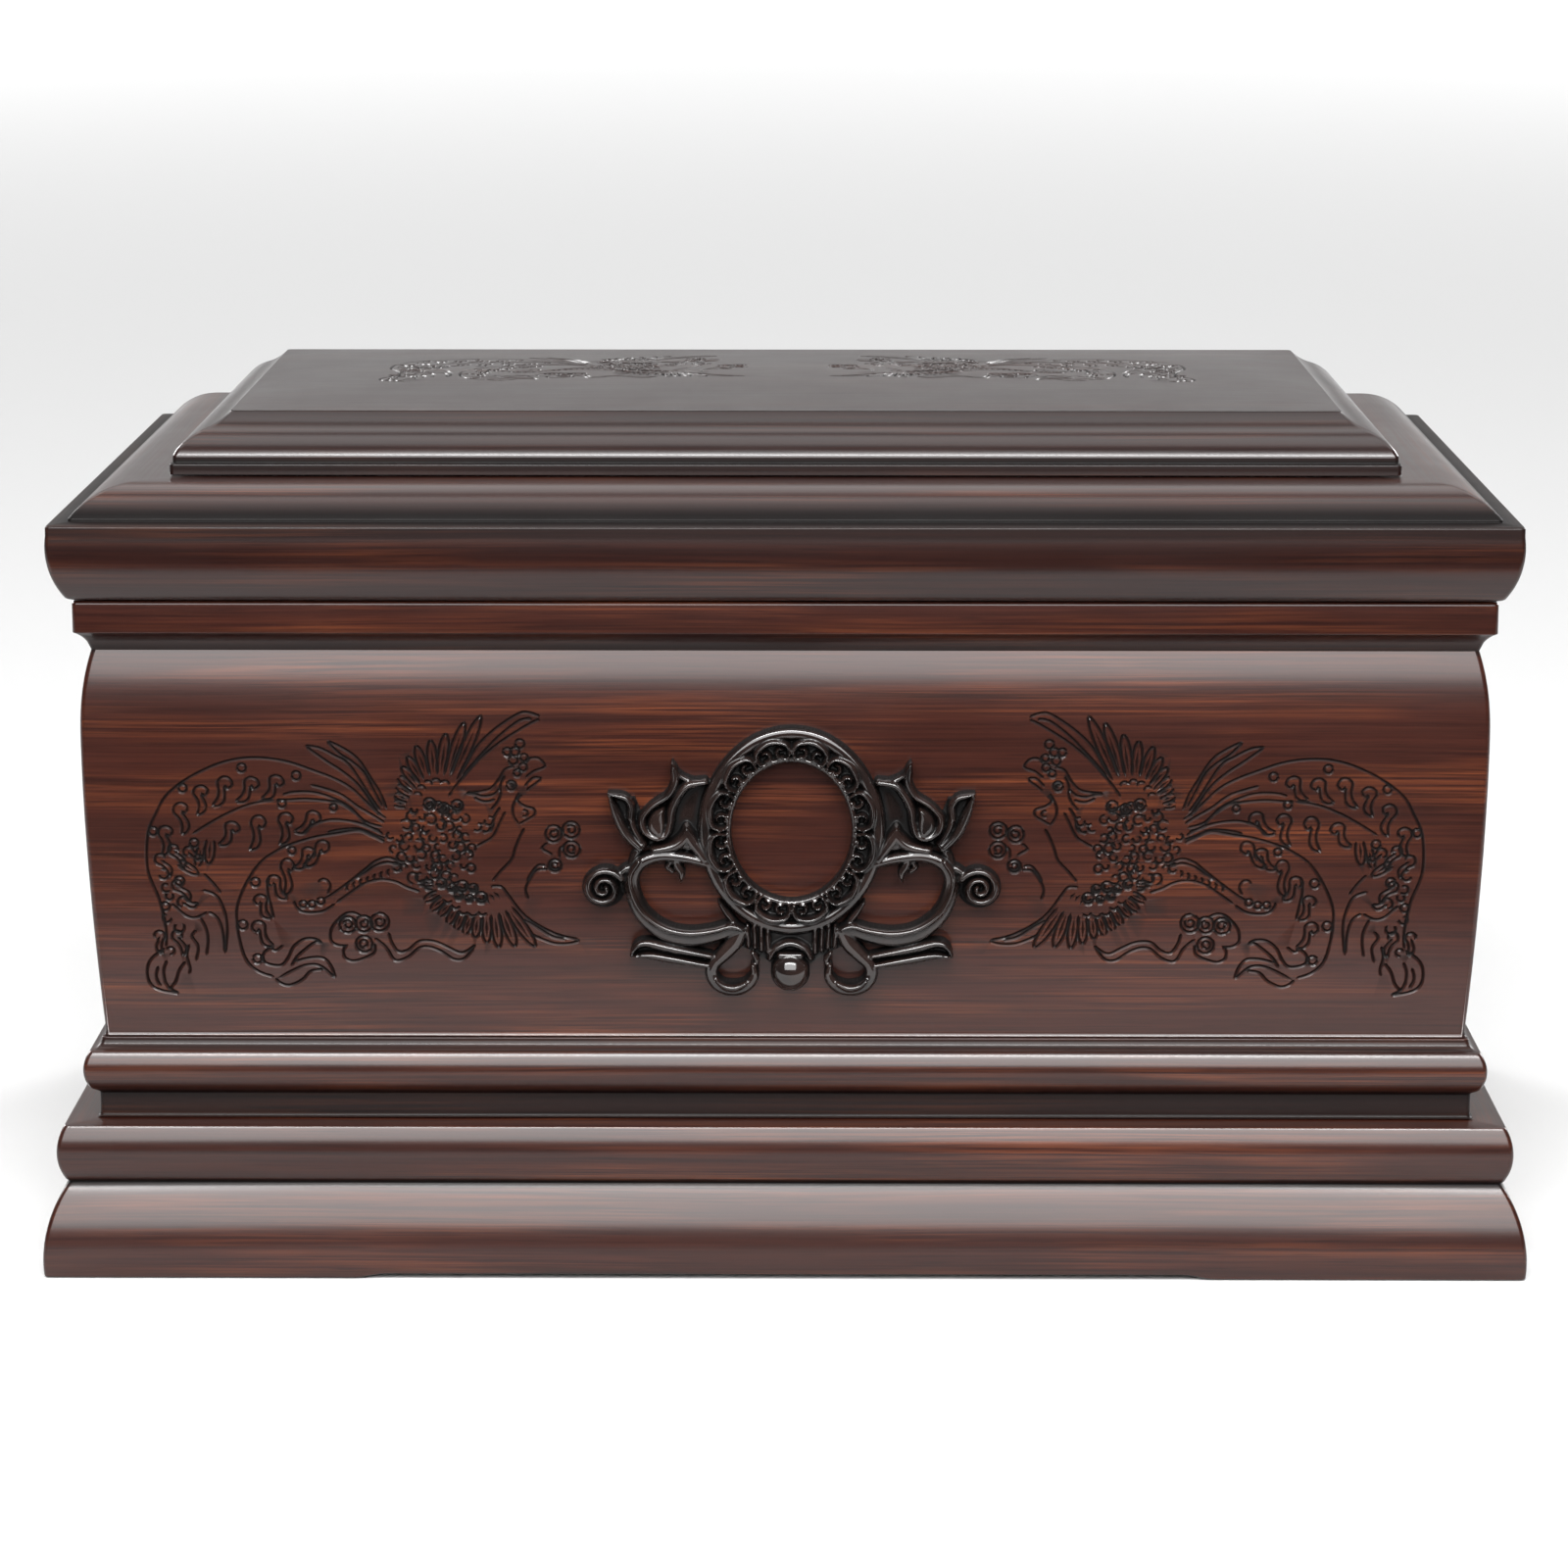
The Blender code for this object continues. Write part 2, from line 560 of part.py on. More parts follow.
# Lid top board: a closed underside, the stepped edge, the ogee slope and the cambered, engraved top.
upper_edge_inset = BOARD_EDGE_INSET + BOARD_EDGE_STEP
top_profile = [(BOARD_EDGE_INSET, BOARD_BOTTOM), (BOARD_EDGE_INSET, BOARD_BOTTOM + BOARD_LOWER_EDGE)]
top_profile.append((upper_edge_inset, BOARD_BOTTOM + BOARD_LOWER_EDGE + 0.3 * MM))
top_profile.append((upper_edge_inset, OGEE_BOTTOM))
shoulder = (upper_edge_inset + 0.06 * OGEE_WIDTH, OGEE_BOTTOM + 0.15 * OGEE_RISE)
middle = (upper_edge_inset + 0.56 * OGEE_WIDTH, OGEE_BOTTOM + 0.61 * OGEE_RISE)
top_profile.append(shoulder)
top_profile += arc(shoulder, middle, 0.06 * OGEE_RISE, 4)[1:]
top_profile += arc(middle, (PLATEAU_INSET, PLATEAU), -0.04 * OGEE_RISE, 3)[1:]
top_mesh = bmesh.new()
top_rings = add_sweep(top_mesh, top_profile, closed=False)
top_mesh.faces.new(top_rings[0])
plateau_half_x = LID_WIDTH / 2.0 - PLATEAU_INSET
plateau_half_y = LID_DEPTH / 2.0 - PLATEAU_INSET


def on_plateau(x, y, depth):
    """A point of the cambered top, cut down by depth. The camber dies away at the edges."""
    across_top = min(1.0, abs(y) / plateau_half_y)
    along_top = min(1.0, abs(x) / plateau_half_x)
    swell = CAMBER * (1.0 - across_top**2) * (1.0 - along_top**12)
    return (x, y, PLATEAU + swell - depth)


plateau_outline = [(x, y) for x, y, _ in ring_at(PLATEAU_INSET, PLATEAU)]
lid_drawing = Drawing()
lid_bird_unit = BIRD_UNIT * LID_BIRD_SCALE
for side in (1, -1):
    draw_phoenix(lid_drawing, side * LID_BIRD_SPREAD, LID_BIRD_SET_BACK, lid_bird_unit, side, full=False)
engraved_faces(top_mesh, lid_drawing, plateau_outline, 17.0 * MM, on_plateau)
finish("lid_top_board", top_mesh, WALNUT, 0.28)


# The front ornament, drawn in ornament units from the middle of its oval, x to the right and z up.


def ellipse(half_x, half_z, half_width, steps):
    """A closed line round an ellipse."""
    line = []
    for step in range(steps):
        angle = 2.0 * math.pi * step / steps
        line.append((half_x * math.cos(angle), half_z * math.sin(angle), half_width))
    return line


def volute(centre, outer, inner, start, turns, steps, half_width):
    """A spiral from its outer end in to its eye, thinner towards the eye."""
    line = []
    for step in range(steps + 1):
        share = step / steps
        angle = math.radians(start + 360.0 * turns * share)
        reach = outer + (inner - outer) * share**0.8
        x = centre[0] + reach * math.cos(angle)
        z = centre[1] + reach * math.sin(angle)
        line.append((x, z, half_width * (1.0 - 0.35 * share)))
    return line


def draw_wreath(drawing):
    """The oval wreath: a round outer band, a thin inner rim, and twelve small shells between them."""
    drawing.add_stroke(ellipse(17.9, 20.7, 2.5, 24), closed=True, shares=(-1.0, 1.0), crest=3.0, edge=3.0)
    drawing.add_stroke(ellipse(20.9, 24.2, 1.2, 36), closed=True, crest=5.2, edge=3.4)
    drawing.add_stroke(ellipse(15.3, 17.8, 0.7, 36), closed=True, shares=(-1.0, 1.0), crest=3.6, edge=3.6)
    for shell in range(12):
        middle = math.radians(15.0 + 30.0 * shell)
        line = []
        for turn, reach, half in ((-12, 1.2, 0.0), (0, 3.7, 0.9), (12, 1.2, 0.0)):
            angle = middle + math.radians(turn)
            line.append(((15.0 + reach) * math.cos(angle), (17.4 + reach) * math.sin(angle), half))
        drawing.add_stroke(line, crest=4.9, edge=3.4)


def draw_ornament_side(drawing, side):
    """One half: the tulip, the C-scroll with its volute and curled foot, and the leaf wing."""

    def stroke(points, crest, steps=2, edge=3.0, shares=(-1.0, 0.0, 1.0)):
        line = smooth_line([(side * x, z, half) for x, z, half in points], steps)
        drawing.add_stroke(line, shares=shares, crest=crest, edge=edge)

    def area(points, height):
        drawing.add_area([(side * x, z) for x, z in points], height)

    # Tulip: two petals, the bud between them, and the bell of leaf it stands on.
    leaf = ((-41.2, 7.6), (-39.0, 1.0), (-36.4, -3.4), (-30.0, -5.2), (-21.6, -5.0), (-20.4, 10.6), (-25.6, 11.4))
    area(leaf, 2.6)
    stroke(((-42.6, 8.9, 0.3), (-40.6, 3.6, 0.8), (-38.4, -1.2, 0.9), (-35.4, -4.0, 0.8)), 4.4)
    stroke(((-42.2, 8.7, 0.4), (-39.4, 8.0, 0.8), (-36.4, 7.6, 0.7)), 4.2, steps=1)
    stroke(((-37.2, 8.0, 0.5), (-38.0, 4.4, 0.7), (-36.9, 0.2, 0.7), (-34.7, -3.0, 0.6)), 4.0, steps=1)
    stroke(
        (
            (-28.3, 16.6, 0.3), (-27.6, 12.4, 1.0), (-29.2, 9.0, 0.9), (-33.4, 6.4, 0.8), (-35.6, 3.2, 0.8),
            (-34.8, 0.0, 0.8), (-32.2, -1.8, 0.8), (-29.6, -0.8, 0.8), (-28.6, 2.2, 0.8), (-28.6, 6.0, 0.9),
            (-25.6, 11.0, 1.0), (-20.8, 12.0, 1.0),
        ),
        4.8,
        steps=1,
    )  # fmt: skip
    stroke(((-32.2, 5.6, 0.5), (-32.1, 2.2, 2.4), (-32.1, -0.6, 1.0)), 5.0, steps=1, edge=3.2)
    stroke(((-25.0, -0.6, 0.6), (-25.6, -3.2, 1.8), (-30.6, -5.0, 1.2)), 4.2, steps=1)
    stroke(((-25.0, -0.6, 0.6), (-24.2, -3.4, 1.8), (-21.0, -6.2, 1.2)), 4.2, steps=1)
    # C-scroll, swelling towards its foot, and the foot's own curl.
    stroke(
        (
            (-20.2, -7.6, 1.0), (-26.0, -5.9, 1.2), (-34.0, -5.9, 1.4), (-38.2, -12.0, 1.6),
            (-35.6, -20.3, 1.9), (-29.0, -25.4, 2.4), (-20.8, -26.7, 2.6), (-14.0, -26.0, 2.3),
        ),
        5.2,
    )  # fmt: skip
    stroke(
        (
            (-13.6, -26.4, 2.2), (-15.9, -29.9, 1.6), (-19.1, -34.0, 1.3), (-17.8, -38.0, 1.4),
            (-13.4, -39.1, 1.5), (-9.4, -37.0, 1.3), (-9.3, -33.0, 0.7),
        ),
        5.2,
    )  # fmt: skip
    stroke(((-27.9, -6.6, 1.0), (-26.9, -9.2, 1.0), (-26.5, -11.6, 0.3)), 4.2, steps=1)
    # Volute with its link to the scroll.
    drawing.add_stroke(
        [(side * x, z, half) for x, z, half in volute((-44.7, -14.0), 4.4, 1.0, 40.0, 1.4, 13, 1.15)],
        crest=4.8,
        edge=3.0,
    )
    stroke(((-41.6, -10.6, 1.1), (-39.4, -9.4, 1.1), (-37.2, -8.6, 1.1)), 4.4, steps=1)
    # Leaf wing: two long ridges on a thin plate.
    area(((-37.4, -30.4), (-35.4, -27.0), (-28.6, -28.2), (-19.6, -30.6), (-19.2, -32.8), (-29.4, -32.2)), 2.6)
    stroke(((-37.9, -30.9, 0.3), (-35.2, -27.7, 0.8), (-29.0, -28.9, 0.9), (-19.4, -31.0, 0.7)), 4.4, steps=1)
    stroke(((-37.9, -30.9, 0.3), (-30.4, -31.2, 0.8), (-19.2, -33.2, 0.6)), 4.2, steps=1)
    # Fluted fan under the wreath, and the small leaf that ties it to the wreath.
    area(((-12.8, -24.2), (0.6, -23.4), (0.6, -33.6), (-4.8, -33.2), (-8.6, -30.4), (-11.8, -29.0)), 2.8)
    for x, low in ((-9.6, -28.9), (-6.9, -30.0)):
        stroke(((x, -23.6, 0.8), (x, low, 0.8)), 4.0, steps=1)
    stroke(((-17.2, -18.0, 0.6), (-14.8, -21.4, 1.0), (-12.2, -24.6, 0.9)), 4.2, steps=1)


def draw_ball(drawing, centre, radius, height, rings, steps):
    """A domed ball, as closed lines inside each other."""
    for ring in range(rings):
        share = 1.0 - ring / rings
        reach = radius * share
        line = []
        for step in range(steps):
            angle = 2.0 * math.pi * (step + 0.5 * ring) / steps
            point = (centre[0] + reach * math.cos(angle), centre[1] + reach * math.sin(angle))
            line.append(drawing.add_point(*point))
        if ring == 0:
            drawing.add_face(line)
        drawing.edges += list(zip(line, line[1:] + line[:1]))
    drawing.add_point(*centre)
    drawing.balls.append((centre, radius, height))


def relief_height(x, z, drawing):
    """The height of the carving at a point: the highest of everything drawn there."""
    height = ORNAMENT_FLOOR / ORNAMENT_UNIT * 0.85
    for outline, level in drawing.areas:
        if level > height and inside(x, z, outline):
            height = level
    for line, closed, crest, edge in drawing.strokes:
        share = near_stroke(x, z, line, closed)[0]
        if share > 0.0:
            height = max(height, edge + (crest - edge) * math.sqrt(1.0 - (1.0 - share) ** 2))
    for centre, radius, level in drawing.balls:
        away = math.hypot(x - centre[0], z - centre[1]) / radius
        if away < 1.0:
            height = max(height, level * (0.45 + 0.55 * math.sqrt(1.0 - away**2)))
    return height


def relief_mesh(drawing, place):
    """The union of everything drawn, raised to its height, with a back that lies along the wall."""
    points = [Vector(p) for p in drawing.points]
    flat, _, triangles, _, _, origins = delaunay_2d_cdt(points, drawing.edges, drawing.faces, 0, 1e-5, True)
    kept = [triangle for triangle, origin in zip(triangles, origins) if origin]
    directed = {(tri[i], tri[(i + 1) % 3]) for tri in kept for i in range(3)}
    rim = [(a, b) for a, b in directed if (b, a) not in directed]
    mesh = bmesh.new()
    front = {}
    for triangle in kept:
        for corner in triangle:
            if corner not in front:
                x, z = flat[corner]
                front[corner] = mesh.verts.new(place(x, z, relief_height(x, z, drawing)))
        mesh.faces.new([front[corner] for corner in triangle])
    rim_points = sorted({corner for pair in rim for corner in pair})
    number = {corner: index for index, corner in enumerate(rim_points)}
    back = [mesh.verts.new(place(*flat[corner], 0.0)) for corner in rim_points]
    for a, b in rim:
        mesh.faces.new((front[b], front[a], back[number[a]], back[number[b]]))
    rim_flat = [flat[corner] for corner in rim_points]
    rim_edges = [(number[a], number[b]) for a, b in rim]
    back_flat, _, back_triangles = delaunay_2d_cdt(rim_flat, rim_edges, [], 0, 1e-6, True)[:3]
    for triangle in back_triangles:
        x = sum(back_flat[corner][0] for corner in triangle) / 3.0
        z = sum(back_flat[corner][1] for corner in triangle) / 3.0
        crossings = 0
        for a, b in rim_edges:
            (ax, az), (bx, bz) = rim_flat[a], rim_flat[b]
            if (az > z) != (bz > z) and x < ax + (z - az) / (bz - az) * (bx - ax):
                crossings += 1
        if crossings % 2:
            mesh.faces.new([back[corner] for corner in triangle])
    return mesh


def on_wall(x, z, height):
    """A point of the ornament: units from the oval's middle, raised from the front wall."""
    wall_x = ORNAMENT_OFFSET + x * ORNAMENT_UNIT
    wall_z = CASE_BOTTOM + ORNAMENT_RISE + z * ORNAMENT_UNIT
    return on_front(wall_x, wall_z, -(TOUCH_GAP + height * ORNAMENT_UNIT))


ornament = Drawing()
draw_wreath(ornament)
for side in (1, -1):
    draw_ornament_side(ornament, side)
ornament.add_stroke(
    smooth_line([(-5.2, -31.4, 0.7), (-3.9, -29.2, 1.0), (-0.3, -27.8, 1.1), (3.3, -29.2, 1.0), (4.6, -31.4, 0.7)], 2),
    crest=5.0,
    edge=3.0,
)
draw_ball(ornament, (-0.3, -35.2), 4.7, 7.0, 3, 16)
finish("front_ornament", relief_mesh(ornament, on_wall), EBONISED, 0.22, smooth_below=60.0)
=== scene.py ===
# %% [markdown]
# # A wooden cremation urn
#
# The real object is a casket of dark, lacquered wood. It has a bulging case on a moulded plinth,
# a stepped lid that lifts off, two engraved phoenixes and one black carved ornament.
# The measured model gives every size. Each piece below stands for one of its solids, in the same
# place, with finer mouldings, the full carving and a real finish.

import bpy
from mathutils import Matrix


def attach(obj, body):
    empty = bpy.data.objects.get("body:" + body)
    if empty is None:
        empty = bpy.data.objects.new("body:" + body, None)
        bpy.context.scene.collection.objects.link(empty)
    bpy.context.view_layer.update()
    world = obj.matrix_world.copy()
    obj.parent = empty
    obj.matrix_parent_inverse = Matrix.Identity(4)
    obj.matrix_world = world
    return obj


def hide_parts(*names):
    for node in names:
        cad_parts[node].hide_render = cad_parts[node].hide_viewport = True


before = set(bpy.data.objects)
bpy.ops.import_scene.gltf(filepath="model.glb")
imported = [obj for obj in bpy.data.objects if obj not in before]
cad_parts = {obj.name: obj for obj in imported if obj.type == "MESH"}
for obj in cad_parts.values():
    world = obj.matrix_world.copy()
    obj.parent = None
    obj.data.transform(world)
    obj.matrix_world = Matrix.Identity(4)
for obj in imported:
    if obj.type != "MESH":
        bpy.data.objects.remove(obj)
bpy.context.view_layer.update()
print("measured solids:", sorted(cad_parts))

# %% Blender's own tools and the unit
import math

import bmesh
import bpy
import numpy as np
from mathutils import Vector
from mathutils.geometry import delaunay_2d_cdt

MM = 0.001

# %% [markdown]
# ## The sizes
#
# All mouldings run round the same rectangle, so each place on a profile is an inset from the
# lid's rim and a height. The numbers repeat those of the solids, because this script may not
# read them from anywhere else. A list of heights from the floor up is easier to check than
# sums spread over the script. PROBE is the small step over which a slope is measured.

# %% Sizes shared by all pieces
LID_WIDTH = 350.0 * MM
LID_DEPTH = 211.7 * MM
CORNER_RADIUS = 1.2 * MM
CHAMBER_INSET = 20.0 * MM
TOUCH_GAP = 0.3 * MM

FOOT_TOP = 22.0 * MM
LOWER_ROUND_BOTTOM = 23.1 * MM
PLINTH_TOP = 36.8 * MM
WAIST_BOTTOM = 37.1 * MM
FILLET_TOP = 44.4 * MM
UPPER_ROUND_TOP = 53.8 * MM
WAIST_TOP = 56.8 * MM
CASE_BOTTOM = 57.1 * MM
CASE_WIDEST = 131.0 * MM
CASE_NECK = 152.3 * MM
COURSE_BOTTOM = 157.0 * MM
CASE_TOP = 164.7 * MM
RIM_BOTTOM = 165.1 * MM
RIM_TOP = 183.5 * MM
FRAME_TOP = 191.6 * MM
BOARD_BOTTOM = 191.9 * MM
OGEE_BOTTOM = 196.5 * MM
PLATEAU = 206.0 * MM
PLATEAU_INSET = 40.0 * MM
CAMBER = 1.4 * MM
PROBE = 0.05 * MM
print(f"the urn stands {1000 * (PLATEAU + CAMBER):.1f} mm high")

# %% [markdown]
# ## Mouldings
#
# A joiner runs a straight moulding, cuts it at 45 degrees and glues four lengths into a frame.
# Blender could extrude each length and cut its ends, but the mitres then have to meet exactly.
# Here one profile is swept round a rectangle with tiny round corners instead. Every level of
# the profile becomes one ring of points, and neighbouring rings are joined with faces.


# %% Curves for the profiles
def arc(start, end, bulge, steps):
    """Points along a circular arc. A positive bulge swells to the left of the way from start to end."""
    chord_x = end[0] - start[0]
    chord_z = end[1] - start[1]
    chord = math.hypot(chord_x, chord_z)
    half_angle = 2.0 * math.atan2(2.0 * abs(bulge), chord)
    radius = chord / (2.0 * math.sin(half_angle))
    points = []
    for step in range(steps + 1):
        angle = half_angle * (2.0 * step / steps - 1.0)
        along = 0.5 + radius * math.sin(angle) / chord
        rise = radius * (math.cos(angle) - math.cos(half_angle)) * (1.0 if bulge > 0 else -1.0)
        points.append(
            (
                start[0] + chord_x * along - chord_z / chord * rise,
                start[1] + chord_z * along + chord_x / chord * rise,
            )
        )
    return points


def ease_arrises(profile, reach=0.4 * MM, sharper_than=28.0):
    """Rounds each sharp corner of a closed profile a little, as sanding and lacquer do."""
    eased = []
    for index, here in enumerate(profile):
        before = Vector(profile[index - 1])
        after = Vector(profile[(index + 1) % len(profile)])
        corner = Vector(here)
        arriving = corner - before
        leaving = after - corner
        if math.degrees(arriving.angle(leaving, 0.0)) < sharper_than:
            eased.append(here)
            continue
        cut = min(reach, arriving.length * 0.4, leaving.length * 0.4)
        first = corner - arriving.normalized() * cut
        last = corner + leaving.normalized() * cut
        for share in (0.0, 0.33, 0.67, 1.0):
            point = (1 - share) ** 2 * first + 2 * share * (1 - share) * corner + share**2 * last
            eased.append((point.x, point.y))
    return eased


def ring_at(inset, z, steps=4):
    """One level of a moulding: a rectangle with small round corners, counter-clockwise."""
    half_x = LID_WIDTH / 2.0 - inset - CORNER_RADIUS
    half_y = LID_DEPTH / 2.0 - inset - CORNER_RADIUS
    ring = []
    for quarter, (side_x, side_y) in enumerate(((1, -1), (1, 1), (-1, 1), (-1, -1))):
        for step in range(steps + 1):
            angle = math.radians(90.0 * (quarter - 1 + step / steps))
            x = side_x * half_x + CORNER_RADIUS * math.cos(angle)
            y = side_y * half_y + CORNER_RADIUS * math.sin(angle)
            ring.append((x, y, z))
    return ring


# %% How deep in an inner corner a place lies
def hollow_shares(profile, reach):
    """From 0 on open faces to 1 in the inner corners of a profile, where the finish paints shade."""
    # A corner that turns by this many degrees counts in full.
    full_turn = 60.0
    count = len(profile)
    places = [Vector(p) for p in profile]
    area = sum(a.x * b.y - b.x * a.y for a, b in zip(places, places[1:] + places[:1]))
    turns = []
    for index in range(count):
        arriving = places[index] - places[index - 1]
        leaving = places[(index + 1) % count] - places[index]
        cross = arriving.x * leaving.y - arriving.y * leaving.x
        turn = math.degrees(math.atan2(cross, arriving.dot(leaving)))
        turns.append(max(0.0, -turn if area > 0 else turn))
    shares = []
    for here in places:
        total = 0.0
        for there, turn in zip(places, turns):
            total += turn / full_turn * max(0.0, 1.0 - (here - there).length / reach)
        shares.append(min(1.0, total))
    return shares


# %% The sweep
def sweep(profile, closed=True, open_front=(), reach=1.3 * MM):
    """Points, faces and hollow shares of a profile of (inset, z) swept round the urn."""
    points = []
    hollows = []
    count = len(ring_at(0.0, 0.0))
    for (inset, z), share in zip(profile, hollow_shares(profile, reach)):
        points += ring_at(inset, z)
        hollows += [share] * count
    faces = []
    for strip in range(len(profile) if closed else len(profile) - 1):
        low = strip * count
        high = (strip + 1) % len(profile) * count
        for side in range(count):
            if side == count - 1 and strip in open_front:
                continue
            after = (side + 1) % count
            faces.append((low + side, low + after, high + after, high + side))
    return points, faces, hollows


def keep_hollows(mesh, hollows):
    """Stores the hollow shares on the mesh, for the finish to paint as shade."""
    mesh.attributes.new("hollow", "FLOAT", "POINT").data.foreach_set("value", hollows)


def make_piece(name, points, faces, hollows, sharper_than=35.0):
    """A named mesh object that shades smooth except over its sharp edges."""
    mesh = bpy.data.meshes.new(name)
    mesh.from_pydata(points, [], faces)
    keep_hollows(mesh, hollows)
    work = bmesh.new()
    work.from_mesh(mesh)
    bmesh.ops.recalc_face_normals(work, faces=work.faces[:])
    for face in work.faces:
        face.smooth = True
    for edge in work.edges:
        gentle = edge.calc_face_angle(0.0) < math.radians(sharper_than)
        edge.smooth = len(edge.link_faces) == 2 and gentle
    work.to_mesh(mesh)
    work.free()
    piece = bpy.data.objects.new(name, mesh)
    bpy.context.scene.collection.objects.link(piece)
    print(f"{name}: {len(mesh.polygons)} faces")
    return piece


# %% [markdown]
# ## The plinth
#
# On the real urn a flared foot carries a flat half-round. Its lower edge is cut away by about a
# millimetre between the two ends, so that the urn stands on its corners and never rocks.
# A Boolean cut would do this, but moving the lowest points of the finished sweep is simpler:
# the front and back rails first get enough points to follow the S-shaped ends of the cut.

# %% Plinth profile
FOOT_SPREAD = 4.8 * MM
LOWER_ROUND_INSET = 0.4 * MM
REBATE_INSET = 12.0 * MM
REBATE_TOP = 10.3 * MM

plinth_profile = arc((-FOOT_SPREAD, 0.0), (0.6 * MM, FOOT_TOP), 2.0 * MM, 22)
plinth_profile.append((1.1 * MM, FOOT_TOP + 0.55 * MM))
plinth_profile += arc(
    (LOWER_ROUND_INSET, LOWER_ROUND_BOTTOM), (LOWER_ROUND_INSET, PLINTH_TOP), 1.9 * MM, 18
)
plinth_profile += [(CHAMBER_INSET, PLINTH_TOP), (CHAMBER_INSET, REBATE_TOP)]
plinth_profile += [(REBATE_INSET, REBATE_TOP), (REBATE_INSET, 0.0)]
plinth = make_piece("plinth_moulding", *sweep(ease_arrises(plinth_profile)))


# %% The cut-out under the front and back rails
CUTOUT_HEIGHT = 1.1 * MM
CUTOUT_HALF_LENGTH = 105.0 * MM
CUTOUT_CURVE_LENGTH = 8.5 * MM
CUTOUT_CURVE_STEPS = 8
CUTOUT_FADES_AT = 3.0 * MM
RAIL_DEPTH = 13.0 * MM


def cutout_rise(x):
    """How far the rail's lower edge is cut away at x."""
    share = (CUTOUT_HALF_LENGTH - abs(x)) / CUTOUT_CURVE_LENGTH
    share = min(1.0, max(0.0, share))
    return CUTOUT_HEIGHT * (1.0 - math.cos(math.pi * share)) / 2.0


work = bmesh.new()
work.from_mesh(plinth.data)
cuts = [
    side * (CUTOUT_HALF_LENGTH - CUTOUT_CURVE_LENGTH * step / CUTOUT_CURVE_STEPS)
    for side in (-1, 1)
    for step in range(CUTOUT_CURVE_STEPS + 1)
]
for x in cuts:
    everything = work.verts[:] + work.edges[:] + work.faces[:]
    bmesh.ops.bisect_plane(work, geom=everything, plane_co=(x, 0, 0), plane_no=(1, 0, 0))
for vert in work.verts:
    on_rail = abs(vert.co.y) > LID_DEPTH / 2.0 - RAIL_DEPTH
    if on_rail and vert.co.z < CUTOUT_FADES_AT:
        fade = 1.0 - vert.co.z / CUTOUT_FADES_AT
        vert.co.z += cutout_rise(vert.co.x) * fade
work.to_mesh(plinth.data)
work.free()
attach(plinth, "root")
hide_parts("plinth")

# %% [markdown]
# ## The waist moulding
#
# A plain fillet and a second, smaller half-round join the plinth to the case, with a small cove
# where the case stands on it. These narrow steps make most of the fine bright lines in the
# photograph, so each arris is eased by up to 0.4 mm to catch the light.

# %% Waist moulding
FILLET_INSET = 8.1 * MM
COVE_INSET = 8.8 * MM
round_start = (6.2 * MM, FILLET_TOP)
round_end = (6.2 * MM, UPPER_ROUND_TOP)
cove_end = (COVE_INSET, UPPER_ROUND_TOP + 2.2 * MM)

waist_profile = arc((7.4 * MM, WAIST_BOTTOM), (FILLET_INSET, WAIST_BOTTOM + 1.0 * MM), -0.2 * MM, 5)
waist_profile.append((FILLET_INSET, FILLET_TOP - 1.2 * MM))
waist_profile += arc(round_start, round_end, 1.6 * MM, 18)
waist_profile += arc(round_end, cove_end, -0.5 * MM, 8)[1:]
waist_profile += [(COVE_INSET, WAIST_TOP), (CHAMBER_INSET, WAIST_TOP), (CHAMBER_INSET, WAIST_BOTTOM)]
waist = make_piece("waist_moulding_fine", *sweep(ease_arrises(waist_profile)))
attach(waist, "root")
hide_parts("waist_moulding")

# %% [markdown]
# ## The lid frame
#
# The frame has an under-cut rim, a narrow ledge and a broad convex step that rises to the top
# board. A lip under it drops into the case and keeps the lid in place.

# %% Lid frame
STEP_START = 4.7 * MM
STEP_END = 18.5 * MM
FRAME_INNER = 34.0 * MM
LIP_OUTER = 20.5 * MM
LIP_INNER = 26.5 * MM
LIP_BOTTOM = RIM_BOTTOM - 5.0 * MM

frame_profile = [(4.5 * MM, RIM_BOTTOM)]
frame_profile += arc((3.7 * MM, RIM_BOTTOM + 0.5 * MM), (0.0, RIM_TOP - 2.5 * MM), 1.5 * MM, 20)
frame_profile += [(0.0, RIM_TOP - 0.4 * MM), (0.4 * MM, RIM_TOP), (STEP_START, RIM_TOP + 0.3 * MM)]
frame_profile += arc((STEP_START, RIM_TOP + 0.9 * MM), (STEP_END, FRAME_TOP), 1.7 * MM, 22)
frame_profile += [(FRAME_INNER, FRAME_TOP), (FRAME_INNER, RIM_BOTTOM), (LIP_INNER, RIM_BOTTOM)]
frame_profile += [(LIP_INNER, LIP_BOTTOM), (LIP_OUTER, LIP_BOTTOM), (LIP_OUTER, RIM_BOTTOM)]
lid_moulding = make_piece("lid_moulding", *sweep(ease_arrises(frame_profile), reach=6.5 * MM))
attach(lid_moulding, "root")
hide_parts("lid_frame")
